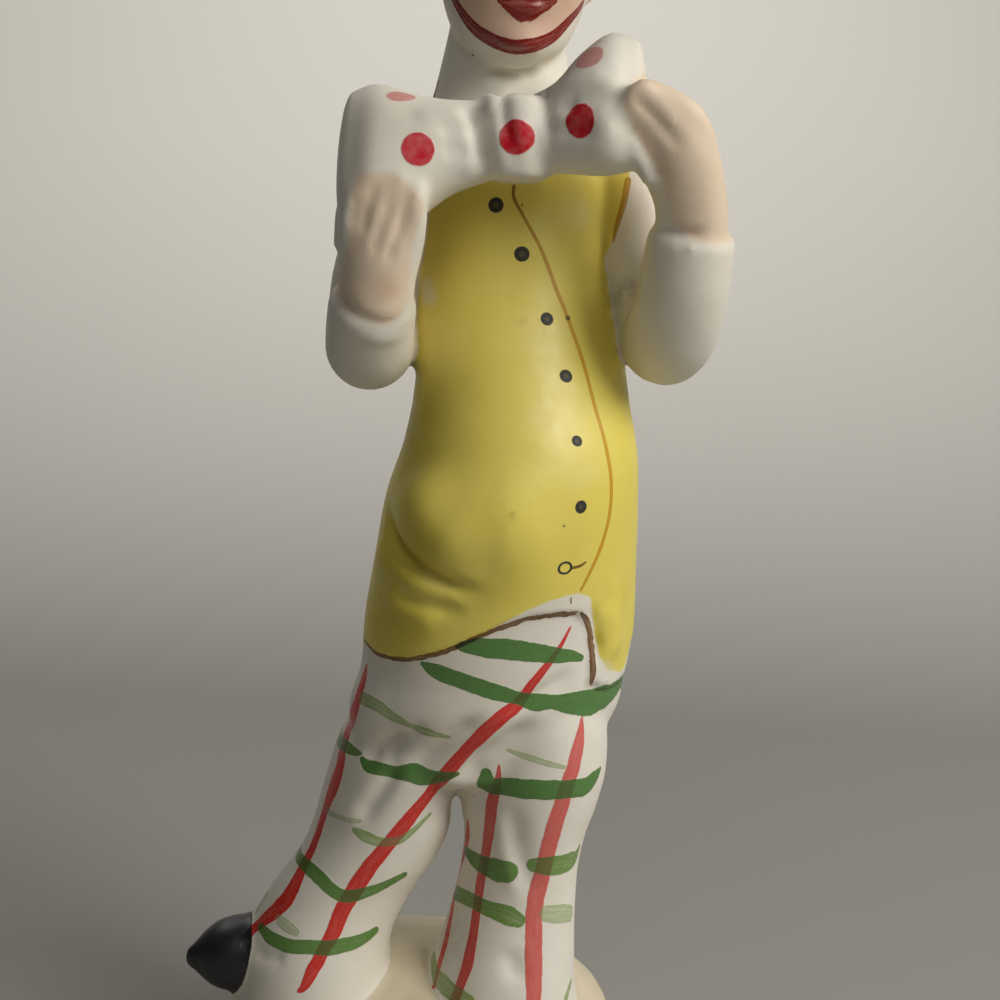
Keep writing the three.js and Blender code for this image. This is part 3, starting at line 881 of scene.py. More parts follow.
GREEN = [
    (1.0, [(459, 646, 8), (468, 646, 15), (491, 648, 20), (522, 651, 20), (553, 655, 16), (570, 656, 12),
           (581, 658, 7)]),
    (1.0, [(423, 664, 5), (436, 671, 15), (465, 682, 16), (495, 692, 16), (518, 698, 13), (537, 702, 17),
           (553, 702, 14), (570, 703, 21), (589, 702, 26), (608, 694, 25), (621, 681, 15), (626, 671, 5)]),
    (0.55, [(362, 698, 12), (378, 706, 12), (394, 717, 10), (409, 725, 7), (425, 731, 9), (437, 735, 8),
            (449, 737, 4)]),
    (0.8, [(339, 722, 8), (338, 733, 13), (342, 743, 12), (350, 749, 10), (360, 754, 5)]),
    (1.0, [(362, 759, 5), (369, 766, 12), (385, 770, 12), (400, 773, 13), (413, 773, 19), (426, 777, 18),
           (441, 777, 13), (457, 774, 5)]),
    (0.4, [(325, 809, 7), (335, 815, 5), (348, 820, 5), (360, 821, 4)]),
    (0.6, [(355, 830, 6), (365, 836, 11), (376, 841, 10), (387, 842, 9), (400, 840, 8), (415, 829, 6),
           (430, 814, 4)]),
    (0.85, [(300, 847, 9), (299, 857, 10), (308, 867, 12), (319, 877, 13), (330, 888, 12), (341, 895, 12),
            (354, 896, 12), (367, 892, 11), (385, 885, 9), (404, 875, 7)]),
    (0.85, [(260, 926, 7), (270, 937, 12), (285, 945, 13), (306, 947, 13), (328, 948, 14), (348, 944, 14),
            (363, 939, 12), (375, 931, 9)]),
    (0.4, [(277, 917, 6), (285, 924, 11), (296, 932, 8)]),
    (0.5, [(267, 894, 6), (257, 911, 6)]),
    (1.0, [(486, 773, 10), (488, 785, 20), (501, 786, 17), (524, 789, 19), (547, 790, 19), (570, 789, 18),
           (586, 786, 18), (595, 777, 14), (600, 769, 5)]),
    (0.45, [(509, 750, 4), (528, 757, 6), (547, 763, 6), (564, 767, 4)]),
    (0.85, [(465, 850, 8), (475, 860, 15), (486, 866, 18), (496, 870, 22), (506, 872, 21)]),
    (0.75, [(534, 865, 14), (547, 866, 19), (563, 864, 20), (574, 858, 18), (579, 847, 6)]),
    (0.75, [(454, 892, 13), (469, 899, 14), (482, 906, 14), (496, 911, 16), (509, 916, 19), (518, 920, 14)]),
    (0.45, [(547, 913, 16), (559, 914, 18), (570, 913, 16)]),
    (0.6, [(433, 955, 9), (435, 971, 12), (441, 981, 16), (452, 992, 16), (468, 1002, 15)]),
    (0.6, [(571, 981, 5), (566, 998, 7)]),
]
BROWN = [
    (1.0, [(514, 186, 3, 0.2), (514, 198, 3, 0.3), (524, 217, 3, 0.6), (542, 251, 3.5, 0.8),
           (557, 291, 4, 0.9), (567, 316, 4, 1), (583, 362, 4.5, 1), (595, 407, 4.5, 1), (605, 443, 5, 1),
           (611, 478, 5, 1), (610, 511, 5, 1), (603, 541, 5, 1), (593, 566, 4.5, 1), (581, 590, 3, 0.9)]),
    (0.3, [(515, 198, 3), (521, 205, 4)]),
    (0.15, [(364, 640, 3), (375, 652, 4), (388, 657, 5), (407, 659, 6), (427, 656, 7), (450, 649, 7),
            (484, 634, 7), (522, 620, 7), (541, 616, 7), (560, 614, 8), (577, 613, 7)]),
    (0.15, [(581, 613, 3), (586, 619, 6), (590, 629, 7), (591, 640, 7), (593, 656, 7), (593, 673, 6),
            (591, 684, 3)]),
    (0.5, [(596, 690, 2), (612, 687, 2), (626, 674, 2), (634, 655, 1.5)]),
    (0.8, [(628, 180, 6), (624, 202, 6), (617, 225, 5), (613, 243, 2)]),
    (0.3, [(438, 82, 4), (434, 97, 5)]),
    (0.1, [(572, 568, 3), (580, 566, 3), (586, 562, 2)]),
    (0.3, [(571, 597, 2), (571, 603, 2)]),
]
LIPS = [
    (1.0, [(500, 1, 5), (512, 6, 15), (526, 9, 23), (541, 6, 15), (555, 1, 5)]),
    (1.0, [(501, -5, 4), (514, -11, 12), (522, -11, 14), (527, -9, 12), (533, -11, 14), (541, -11, 12),
           (555, -5, 4)]),
]
SMILE_WIDTHS = [9, 12, 14, 15, 13, 11, 9, 7, 6, 5, 5, 5, 6, 7]

# Round spots: kind, place, half its width and half its height
CRIMSON, BUTTON, OPEN_RING, SPECK, BLUSH, IRIS, FADED = range(1, 8)
SPOTS = [
    (CRIMSON, 418, 149, 17, 18),
    (CRIMSON, 516, 137, 17, 18),
    (CRIMSON, 580, 121, 16, 17),
    (FADED, 401, 96, 15, 9),
    (FADED, 589, 57, 15, 16),
    (BUTTON, 496, 205, 8, 8),
    (BUTTON, 522, 254, 8, 8),
    (BUTTON, 547, 319, 7, 7),
    (BUTTON, 566, 376, 7.5, 7),
    (BUTTON, 577, 441, 6.5, 6),
    (BUTTON, 581, 507, 7.5, 7),
    (OPEN_RING, 565, 568, 9, 7),
    (SPECK, 568, 318, 3, 2.6),
    (SPECK, 564, 526, 1.4, 1.4),
    (SPECK, 580, 45, 1.6, 1.6),
    (SPECK, 473, 55, 1.4, 1.4),
    (SPECK, 390, 480, 2.4, 2.4),
]
# On the face, in millimetres to the right of its middle, and height
FACE_SPOTS = [
    (BLUSH, -6.6, CHIN + 12.5, 2.7, 2.4),
    (BLUSH, 6.6, CHIN + 12.5, 2.7, 2.4),
    (IRIS, -4.3, CHIN + 19.4, 1.15, 1.25),
    (IRIS, 4.3, CHIN + 19.4, 1.15, 1.25),
]
EYELID = [(2.0, 19.6, 0.3), (3.0, 20.7, 0.5), (4.4, 21.1, 0.55), (5.8, 20.6, 0.5), (6.9, 19.5, 0.3)]
EYEBROW = [(2.4, 23.0, 0.4), (3.6, 24.2, 0.8), (5.2, 24.6, 0.8), (6.8, 23.6, 0.3)]
FACE_LINES = [
    (tone, [(way * x, CHIN + z, width) for x, z, width in marks])
    for tone, marks in ((0.1, EYELID), (0.25, EYEBROW))
    for way in (-1, 1)
]

# Half the width of the thinnest stroke, and what keeps the bristle marks of two strokes different
THINNEST = 0.12
STROKE_SPACING = 37.0


def nearer(cast, place, nearest):
    """The faces that lie wholly in reach of a stroke or spot and nearer to it than to those before, and its
    place at their corners."""
    there = place[cast.quads]
    far = np.hypot(there[..., 0], there[..., 1]).min(1)
    better = ~np.isnan(there).any((1, 2))
    better &= np.where(np.isnan(far), UNPAINTED, far) < nearest
    nearest[better] = far[better]
    return better, there[better]


def lay_strokes(cast, name, groups):
    """Gives every face corner its place in the nearest brush stroke of a colour, so that the finish can
    draw the stroke's edge and bristle marks far finer than the mesh: half widths across it and past its
    end, and millimetres along it. A second value says how strong the colour is there."""
    corners = np.full((len(cast.quads), 4, 3), UNPAINTED)
    strength = np.zeros((len(cast.quads), 4))
    nearest = np.full(len(cast.quads), UNPAINTED)
    offset = 0.0
    for view, strokes in groups:
        for load, marks in strokes:
            path, normals, values = laid(cast, view, marks)
            halves = np.maximum(values[:, 0] / 2, THINNEST)
            loads = load * (values[:, 1] if values.shape[1] > 1 else np.ones(len(values)))
            reach = halves.max() * 1.6 + 1.6
            near, across, past, along, at = along_path(cast, path, normals, reach)
            half, load_here = (np.interp(at, np.arange(len(halves)), each) for each in (halves, loads))
            place = np.full((len(cast.points), 4), np.nan)
            place[near] = np.stack([across / half, past / half, along + offset, load_here], 1)
            better, there = nearer(cast, place, nearest)
            corners[better] = there[..., :3]
            strength[better] = there[..., 3]
            offset += STROKE_SPACING
    cast.keep(name, corners.reshape(-1, 3), "CORNER")
    cast.keep(name + "_load", strength.reshape(-1), "CORNER")


def lay_spots(cast, name, groups):
    """Gives every face corner its place in the nearest round spot, in half widths and half heights, and the
    spot's kind."""
    corners = np.full((len(cast.quads), 4, 3), UNPAINTED)
    corners[..., 2] = 0
    nearest = np.full(len(cast.quads), UNPAINTED)
    for view, spots in groups:
        for kind, x, y, wide, high in spots:
            points, normals, values = landed(cast.tree, view, [(x, y, wide, high / wide)])
            wide, taller = values[0]
            side, top = level_and_up(normals[0])
            away = cast.points - points[0]
            fit = (np.linalg.norm(away, axis=1) < wide * 3 + 1.5) & (cast.normals @ normals[0] > 0)
            away = away[fit]
            place = np.full((len(cast.points), 3), np.nan)
            place[fit, 0] = away @ side / wide
            place[fit, 1] = away @ top / (wide * taller)
            place[fit, 2] = kind
            better, there = nearer(cast, place, nearest)
            corners[better] = there
    cast.keep(name, corners.reshape(-1, 3), "CORNER")


def main_parts():
    return {
        "torso": torso(),
        "neck": neck(),
        "skull": skull(),
        "nose": nose(),
        "ears": ears(),
        "hair": hair(),
        "hat": hat(),
        "sleeves": both(right_sleeve(), left_sleeve()),
        "hands": both(right_hand(), left_hand()),
        "bow": both(bow(), knot()),
        "legs": trouser_legs(),
        "shoes": shoes(),
        "mound": mound(),
    }


# How far from a body its area is worked out, and how far above the brim's middle the hat's black begins
AREA_REACH = 4.0
BRIM_UP = 0.4


def own_areas(cast, parts):
    """Where each colour's own area is: how far inside it a point lies, in millimetres, negative outside."""
    far = {name: distance_to(body, cast.points, AREA_REACH) for name, body in parts.items()}

    def claim(own, *others):
        inside_it = np.minimum.reduce([far[name] for name in others]) - far[own]
        return np.where(far[own] < AREA_REACH * 0.9, inside_it, -AREA_REACH)

    # The head stands out of the brim at the back and is painted with it there
    lean, place = hat_place()
    above_brim = (cast.points - place) @ lean[:, 2] - BRIM_UP
    black = [claim("shoes", "legs", "mound"), claim("hat", "skull", "hair"), above_brim]
    between_curls = 0.8 * step(4, 8, cast.points[:, 1])
    return {
        "vest": claim("torso", "neck", "sleeves", "hands", "bow"),
        "skin": claim("hands", "sleeves", "bow"),
        "ears": claim("ears", "skull", "hair"),
        "black": np.maximum.reduce(black),
        "hair": claim("hair", "skull", "ears", "neck", "hat") + between_curls,
        "nose": claim("nose", "skull"),
        "mound": claim("mound", "legs", "shoes"),
        "face": claim("skull", "neck", "nose", "hat", "hair", "ears"),
        "hands": far["hands"],
        "head": np.minimum.reduce([far["skull"], far["nose"], far["ears"]]),
        "curls": far["hair"],
    }


# Airbrushed tints, smudges of dirt, and painted shade and painted highlight where light falls: place and
# radius in the picture, and how much more or less of the colour there is
VEST_TINTS_SHADE_HIGHLIGHT = [
    (432, 400, 42, 0.30),
    (398, 560, 42, 0.25),
    (405, 630, 34, 0.50),
    (500, 590, 36, 0.30),
    (425, 545, 30, 0.30),
    (460, 622, 16, -0.15),
    (597, 640, 10, 0.60),
    (452, 250, 30, 0.15),
    (426, 284, 9, -0.50),
    (430, 298, 9, -0.50),
    (598, 275, 22, 0.30),
    (620, 345, 20, 0.30),
    (545, 225, 26, -0.10),
    (578, 215, 20, -0.22),
    (622, 262, 12, -0.50),
    (560, 440, 52, -0.12),
    (584, 480, 20, -0.15),
    (540, 350, 40, -0.08),
    (625, 530, 22, 0.15),
    (615, 600, 20, 0.20),
    (606, 668, 8, -0.50),
]
# Deeper peach: airbrushing, and painted shade at the wrists and beside the fingers
SKIN_TINTS_AND_SHADE = [
    (385, 292, 24, 0.60),
    (378, 250, 22, 0.25),
    (395, 200, 16, -0.15),
    (700, 215, 24, 0.35),
    (722, 160, 20, 0.15),
    (640, 140, 14, 0.35),
    (640, 100, 16, -0.20),
    (405, 215, 14, 0.10),
]
# Smudges of dirt, and patches of painted shade in recesses, such as on the mound between the legs
GRIME_AND_SHADE = [
    (629, 290, 10, 0.9),
    (614, 300, 10, 0.5),
    (412, 372, 12, 0.7),
    (464, 172, 5, 0.7),
    (632, 380, 10, 0.4),
    (592, 40, 8, 0.25),
    (585, 965, 14, 0.3),
    (512, 516, 3.5, 0.9),
    (522, 321, 3, 0.7),
    (450, 940, 22, 0.4),
]


def tinted(cast, base, tints):
    spots = picture_place(cast.points)
    total = np.full(len(spots), float(base))
    for x, y, radius, amount in tints:
        away = ((spots - (x, y)) ** 2).sum(1) / radius**2
        total += amount * np.exp(-away) * seen(cast)
    return total


def back_red():
    return [
        (1.0, [(-19.5, 71, 0.4), (-18.5, 58, 1.8), (-17.0, 44, 2.2), (-16.5, 34, 2.0), (-16.5, 27, 0.8)]),
        (1.0, [(-9.0, 71, 0.4), (-9.5, 58, 2.0), (-9.5, 42, 2.2), (-8.0, 28, 2.0), (-7.5, 24, 0.8)]),
        (1.0, [(2.0, 71, 0.4), (4.0, 60, 2.0), (9.0, 44, 2.2), (13.5, 30, 2.0), (15.5, 25, 0.8)]),
        (1.0, [(11.5, 71, 0.4), (13.5, 60, 2.0), (18.0, 42, 2.2), (22.0, 30, 2.0), (24.0, 23, 0.8)]),
    ]


def back_green():
    """A band across each leg at every row, those of the left leg moved out with it lower down."""
    green = []
    for row, height in enumerate((68, 57.5, 46.5, 35.5, 26.5)):
        swing = 0.8 * math.sin(2.3 * row)
        shift = max(0, 55 - height) * 0.3
        green += [
            (0.85, [(-25, height + 1 + swing, 1.2), (-18, height - 0.6, 2.4), (-10, height + 0.4, 2.2),
                    (-3.5, height + 1.2, 1.0)]),
            (0.75, [(-1 + shift, height + 0.8, 1.2), (6 + shift, height - 0.5 + swing, 2.4),
                    (13 + shift, height + 0.3, 2.0), (19 + shift, height + 1.4, 1.0)]),
        ]
    return green


def side_strokes(ahead):
    """A stripe down one side and bands across it. Ahead is -1 where the front is to the left, else 1."""
    stripe = [(3, 69, 0.4), (4, 55, 1.8), (4, 42, 2.2), (5, 32, 2.0), (6, 24, 0.8)]
    red = [(1.0, [(-x * ahead, height, width) for x, height, width in stripe])]
    green = [
        (0.7, [(-1 * ahead, height, 1.0), (-5 * ahead, height - 0.7, 2.0), (-9 * ahead, height + 0.5, 1.2)])
        for height in (62, 51.5, 41, 31)
    ]
    return red, green


def hidden_strokes():
    """Plain strokes on the back and the sides, which the picture doesn't show: first red, then green."""
    back, left, right = from_side(180), from_side(90), from_side(-90)
    left_red, left_green = side_strokes(-1)
    right_red, right_green = side_strokes(1)
    red = [(back, back_red()), (left, left_red), (right, right_red)]
    green = [(back, back_green()), (left, left_green), (right, right_green)]
    return red, green


class Finish:
    """Short names for the shader nodes that the painted bisque is mixed from."""

    def __init__(self, name):
        self.material = bpy.data.materials.new(name)
        self.material.use_nodes = True
        self.tree = self.material.node_tree
        self.tree.nodes.clear()
        self.place = self.node("ShaderNodeTexCoord").outputs["Object"]

    def node(self, kind, values=(), **settings):
        made = self.tree.nodes.new(kind)
        for key, value in settings.items():
            setattr(made, key, value)
        for key, value in dict(values).items():
            if isinstance(value, bpy.types.NodeSocket):
                self.tree.links.new(value, made.inputs[key])
            else:
                made.inputs[key].default_value = value
        return made

    def math(self, operation, a, b=0.0):
        return self.node("ShaderNodeMath", {0: a, 1: b}, operation=operation).outputs[0]

    def add(self, a, b):
        return self.math("ADD", a, b)

    def times(self, a, b):
        return self.math("MULTIPLY", a, b)

    def less(self, a, b):
        return self.math("SUBTRACT", a, b)

    def level(self, value, low, high, start=0.0, end=1.0):
        """From start below low to end above high, smooth in between."""
        values = {"Value": value, "From Min": low, "From Max": high, "To Min": start, "To Max": end}
        return self.node("ShaderNodeMapRange", values, interpolation_type="SMOOTHSTEP").outputs["Result"]

    def length(self, a, b):
        return self.math("POWER", self.add(self.times(a, a), self.times(b, b)), 0.5)

    def field(self, name, output="Fac"):
        return self.node("ShaderNodeAttribute", attribute_name=name).outputs[output]

    def apart(self, vector):
        return self.node("ShaderNodeSeparateXYZ", {0: vector}).outputs

    def cloud(self, per_mm, detail=2.0, roughness=0.5, vector=None):
        """Soft noise, 0 to 1, with so many blotches a millimetre."""
        scale = per_mm / MM if vector is None else per_mm
        place = self.place if vector is None else vector
        values = {"Vector": place, "Scale": scale, "Detail": detail, "Roughness": roughness}
        return self.node("ShaderNodeTexNoise", values).outputs["Fac"]

    def drift(self, per_mm, detail, amount, vector=None):
        """Soft noise about nought, up to half the amount each way."""
        return self.times(self.less(self.cloud(per_mm, detail, vector=vector), 0.5), amount)

    def mixed(self, share, under, over, blend="MIX"):
        made = self.node("ShaderNodeMix", {0: share, 6: under, 7: over}, data_type="RGBA", blend_type=blend)
        return made.outputs[2]

    def wash(self, share, under, paint):
        """Thin paint that the surface shows through."""
        return self.mixed(share, under, paint, "MULTIPLY")

    def either(self, a, b):
        return self.math("MAXIMUM", a, b)

    def surface(self, values):
        shader = self.node("ShaderNodeBsdfPrincipled", values)
        self.node("ShaderNodeOutputMaterial", {"Surface": shader.outputs[0]})
        return self.material


BISQUE = (0.83, 0.79, 0.70, 1)
WARM_STAIN = (0.93, 0.89, 0.80, 1)
CREAM = (0.82, 0.76, 0.62, 1)
# Yellow, with its deeper olive also used as painted shade and its pale also used as painted highlight
YELLOW = (1.0, 0.89, 0.19, 1)
DEEP_AND_SHADED_YELLOW = (0.80, 0.70, 0.09, 1)
PALE_AND_LIT_YELLOW = (1.0, 0.94, 0.54, 1)
# Peach, with its deeper tone also used as painted shade
PEACH = (1.0, 0.86, 0.74, 1)
DEEP_AND_SHADED_PEACH = (0.72, 0.42, 0.29, 1)
MOUTH_PINK = (0.92, 0.62, 0.50, 1)
BLUSH_PINK = (0.95, 0.52, 0.46, 1)
RED_PAINT = (0.80, 0.05, 0.04, 1)
GREEN_PAINT = (0.12, 0.29, 0.085, 1)
OLIVE_PAINT = (0.32, 0.50, 0.15, 1)
DARK_BROWN = (0.16, 0.07, 0.04, 1)
GOLD_BROWN = (0.74, 0.47, 0.09, 1)
LIP_RED = (0.30, 0.025, 0.022, 1)
DOT_RED = (0.72, 0.010, 0.035, 1)
NOSE_RED = (0.75, 0.08, 0.06, 1)
HAIR_RUST = (0.62, 0.22, 0.06, 1)
BLACK = (0.014, 0.014, 0.016, 1)
DARK_GREY = (0.022, 0.022, 0.018, 1)
IRIS_BLUE = (0.10, 0.20, 0.33, 1)
# Grey for dirt and for painted shade
GREY_FOR_GRIME_AND_SHADE = (0.42, 0.38, 0.33, 1)


# The casting's pinholes: cells a millimetre, and the share of the cells that have one
PIT_CELLS = 0.22
PIT_SHARE = 0.12


def area_edge(f, name, wander=0.35, soft=0.12):
    """1 inside a painted area, with an edge that wanders as a brush does."""
    return f.level(f.add(f.field(name), f.drift(0.35, 3, wander * 2)), -soft, soft)


def brushed(f, name, wander=0.3, ragged=0.16, streaky=0.5):
    """How much of a colour its brush strokes leave on the surface, how well they cover, and their load."""
    across, past, along = f.apart(f.field(name, "Vector"))
    load = f.field(name + "_load")
    line = f.node("ShaderNodeCombineXYZ", {0: f.times(along, 0.33)}).outputs[0]
    across = f.add(across, f.drift(1.0, 1, wander, line))
    out = f.add(f.length(across, past), f.drift(1.6, 2, ragged))
    inside_it = f.level(out, 0.98, 1.14, 1.0, 0.0)
    lanes = f.node("ShaderNodeCombineXYZ", {0: f.times(across, 1.9), 1: f.times(along, 0.16)}).outputs[0]
    streaks = f.level(f.cloud(1.4, 2, 0.6, lanes), 0.3, 0.62, 1 - streaky, 1.0)
    rim = f.level(out, 0.5, 0.98, 0.0, 0.18)
    cover = f.times(inside_it, f.math("MINIMUM", f.add(streaks, rim), 1.0))
    return f.times(cover, load), cover, load


def bare_porcelain(f):
    mottle = f.level(f.cloud(0.06, 4, 0.6), 0.35, 0.7)
    colour = f.wash(f.times(mottle, 0.35), BISQUE, WARM_STAIN)
    return f.wash(area_edge(f, "mound", 0.2), colour, CREAM)


def yellow_vest(f, colour, vest):
    """Airbrushed yellow, pale where it is thin and as painted highlight, olive where it is thick and as
    painted shade.
    """
    tint_shade_highlight = f.add(f.field("vest_tint_shade_highlight"), f.drift(0.12, 3, 0.3))
    # Where the tint is high the yellow turns olive as painted shade; where it is low it turns pale, partly
    # as painted highlight
    yellow = f.mixed(f.level(tint_shade_highlight, 0.45, 0.95), PALE_AND_LIT_YELLOW, YELLOW)
    yellow = f.mixed(f.level(tint_shade_highlight, 1.0, 1.5), yellow, DEEP_AND_SHADED_YELLOW)
    mist = f.level(tint_shade_highlight, 0.0, 0.5)
    return f.wash(f.times(vest, mist), colour, yellow)


def skin_and_hair(f, colour, hollow, nose):
    """Peach hands and ears, deeper in the hollows, at the wrists and beside the fingers as painted shade, a
    pink mouth, rust curls and a red nose.
    """
    # Deeper peach in the hollows and the tinted spots is painted shade
    flush_and_shade = f.add(f.field("skin_tint_and_shade"), f.times(hollow, 1.6))
    flush_and_shade = f.add(flush_and_shade, f.drift(0.2, 3, 0.25))
    peach = f.mixed(f.level(flush_and_shade, 0.15, 1.1), PEACH, DEEP_AND_SHADED_PEACH)
    colour = f.wash(area_edge(f, "skin", 0.5, 0.9), colour, peach)
    colour = f.wash(f.times(area_edge(f, "mouth", 0.1), 0.85), colour, MOUTH_PINK)
    patchy = f.level(f.cloud(0.8, 2), 0.2, 0.6, 0.75, 1.0)
    colour = f.wash(f.times(area_edge(f, "hair", 0.3), patchy), colour, HAIR_RUST)
    return f.wash(nose, colour, NOSE_RED)


def brush_strokes(f, colour):
    """The red and green checks, the lips and the brown lines, and what the bright ones and brown cover."""
    red_share, red, _ = brushed(f, "red", ragged=0.12, streaky=0.07)
    green_share, green, green_load = brushed(f, "green", ragged=0.16, streaky=0.26)
    clear_of_green = f.less(1.0, f.times(green_share, 0.6))
    colour = f.wash(f.times(red_share, clear_of_green), colour, RED_PAINT)
    green_paint = f.mixed(f.level(green_load, 0.5, 1.0), OLIVE_PAINT, GREEN_PAINT)
    colour = f.wash(f.level(green_share, 0.0, 0.75), colour, green_paint)
    _, lips, _ = brushed(f, "lips", wander=0.1, ragged=0.05, streaky=0.15)
    colour = f.wash(lips, colour, LIP_RED)
    _, brown, tone = brushed(f, "brown", wander=0.15, ragged=0.06, streaky=0.2)
    colour = f.wash(brown, colour, f.mixed(tone, DARK_BROWN, GOLD_BROWN))
    return colour, f.either(f.either(red, green), lips), brown


def round_spots(f, colour):
    """The bow's dots, the buttons, the blush and the eyes, and what the dots and the buttons cover."""
    u, v, kinds = f.apart(f.field("spots", "Vector"))

    def of_kind(kind):
        return f.node("ShaderNodeMath", {0: kinds, 1: float(kind), 2: 0.1}, operation="COMPARE").outputs[0]

    around = f.length(u, v)
    disc = f.level(f.add(around, f.drift(0.7, 2, 0.12)), 0.9, 1.02, 1.0, 0.0)
    dot = f.times(disc, f.either(of_kind(CRIMSON), f.times(of_kind(FADED), 0.6)))
    dab = f.level(f.cloud(0.55, 3, 0.6), 0.3, 0.6, 0.90, 1.0)
    colour = f.wash(f.times(dot, dab), colour, DOT_RED)
    centre = f.level(around, 0.2, 0.5, 0.92, 1.0)
    button = f.times(f.times(disc, centre), of_kind(BUTTON))
    ring_band = f.times(f.level(around, 0.62, 0.72), f.level(around, 0.95, 1.05, 1.0, 0.0))
    button = f.either(button, f.times(ring_band, of_kind(OPEN_RING)))
    button = f.either(button, f.times(f.times(disc, 0.8), of_kind(SPECK)))
    colour = f.mixed(button, colour, DARK_GREY)
    blush = f.times(f.level(around, 0.2, 1.5, 0.6, 0.0), of_kind(BLUSH))
    colour = f.wash(blush, colour, BLUSH_PINK)
    eye = f.times(f.level(around, 0.9, 1.0, 1.0, 0.0), of_kind(IRIS))
    iris = f.mixed(f.level(around, 0.45, 0.58, 1.0, 0.0), IRIS_BLUE, BLACK)
    return f.mixed(eye, colour, iris), dot, button


def wear_and_shade(f, colour, hollow):
    """Smudges, dirt and painted shade in the hollows and recesses, the casting's pinholes, and where the
    pinholes are.
    """
    grime_and_shade = f.times(f.field("grime_and_shade"), f.level(f.cloud(0.7, 3), 0.3, 0.6, 0.35, 1.0))
    # Grey in the hollows is painted shade
    grime_and_shade = f.add(grime_and_shade, f.times(f.level(hollow, 0.12, 0.6), 0.35))
    colour = f.wash(f.times(grime_and_shade, 0.8), colour, GREY_FOR_GRIME_AND_SHADE)
    cells = f.node("ShaderNodeTexVoronoi", {"Vector": f.place, "Scale": PIT_CELLS / MM}, feature="F1")
    few = f.math("LESS_THAN", f.apart(cells.outputs["Color"])[0], PIT_SHARE)
    pit = f.times(f.level(cells.outputs["Distance"], 0.02, 0.045, 1.0, 0.0), few)
    return f.wash(f.times(pit, 0.6), colour, DARK_BROWN), pit


def painted_bisque():
    """Matt unglazed porcelain with brushed and airbrushed colours, one finish for the whole casting."""
    f = Finish("painted bisque")
    hollow = f.field("hollow")
    vest = area_edge(f, "vest", 0.25, 0.22)
    nose = area_edge(f, "nose", 0.1)
    black = area_edge(f, "black", 0.15)
    colour = yellow_vest(f, bare_porcelain(f), vest)
    colour = skin_and_hair(f, colour, hollow, nose)
    colour, strokes, brown = brush_strokes(f, colour)
    colour, dot, button = round_spots(f, colour)
    worn = f.times(black, f.level(f.cloud(0.5, 4, 0.7), 0.7, 0.8, 1.0, 0.75))
    colour, pit = wear_and_shade(f, f.mixed(worn, colour, BLACK), hollow)

    strokes = f.either(strokes, dot)
    satin = f.either(strokes, f.times(nose, 0.8))
    sheen = f.times(f.either(vest, black), f.less(0.14, f.times(button, 0.2)))
    matt = f.less(f.level(f.cloud(0.5, 3), 0.3, 0.7, 0.50, 0.60), sheen)
    gloss = f.level(f.cloud(0.9, 2), 0.35, 0.65, 0.2, 0.32)
    roughness = f.node("ShaderNodeMix", {0: satin, 2: matt, 3: gloss}, data_type="FLOAT").outputs[0]

    grain = f.add(f.times(f.cloud(2.2, 3, 0.6), 0.020), f.times(f.cloud(0.35, 2), 0.05))
    paint_height = f.add(f.times(strokes, 0.07), f.times(f.either(brown, button), 0.03))
    height = f.add(f.less(grain, f.times(pit, 0.1)), paint_height)
    bump = f.node("ShaderNodeBump", {"Strength": 0.8, "Distance": MM, "Height": height})
    return f.surface({"Base Color": colour, "Roughness": roughness, "Normal": bump.outputs[0], "IOR": 1.5})


# What is lower than this becomes the flat foot
FOOT_FLAT = 0.45


def roughen(cast, mound):
    """The slip's uneven surface, most uneven on the mound, and a foot that stands flat."""
    places = [Vector(p) for p in cast.points]
    rough = np.array([noise.noise(p * 0.11) + 0.5 * noise.noise(p * 0.27) for p in places])
    uneven = 0.06 + 0.5 * step(0.0, 1.5, mound)
    cast.points += cast.normals * (rough * uneven)[:, None]
    cast.relax(2, np.full(len(cast.points), 0.5))
    cast.points[:, 2] = np.where(cast.points[:, 2] < FOOT_FLAT, 0.0, cast.points[:, 2])
    cast.update()


def modelled(face):
    """The whole surface with its relief, and the areas that its bodies give each colour."""
    parts = main_parts()
    cast = slip_cast(parts.values())
    areas = own_areas(cast, parts)
    fine = np.minimum(step(0.2, 2.5, areas["head"]), step(0.0, 1.5, areas["curls"]))
    cast.relax(9, 0.25 + 0.75 * fine)
    cast.relax(20, 1 - step(0.5, 3.0, areas["hands"]))
    cast.update()
    set_trousers_back(cast)
    press_folds(cast, in_picture, FOLDS)
    press_folds(cast, from_side(180), BACK_FOLDS)
    press_folds(cast, in_picture, FLAP_SWELL)
    press_pads(cast, face, FACE_PADS)
    roughen(cast, areas["mound"])
    return cast, areas


def mark_areas(cast, areas):
    """Keeps how far inside each painted area every point is."""
    vest = np.minimum(areas["vest"], above_line(cast, YELLOW_EDGE))
    armhole = np.where(cast.points[:, 1] > ARMHOLE_FRONT, as_shown(cast, [ARMHOLE], -BESIDE), -BESIDE)
    cast.keep("vest", np.maximum(vest, armhole))
    cast.keep("mouth", np.minimum(as_shown(cast, [SMILE], -BESIDE), areas["face"]))
    peach = as_shown(cast, [RIGHT_PEACH, LEFT_PEACH], areas["skin"])
    cast.keep("skin", np.maximum(np.minimum(peach, HANDS_EDGE - areas["hands"]), areas["ears"]))
    for name in ("black", "hair", "nose", "mound"):
        cast.keep(name, areas[name])


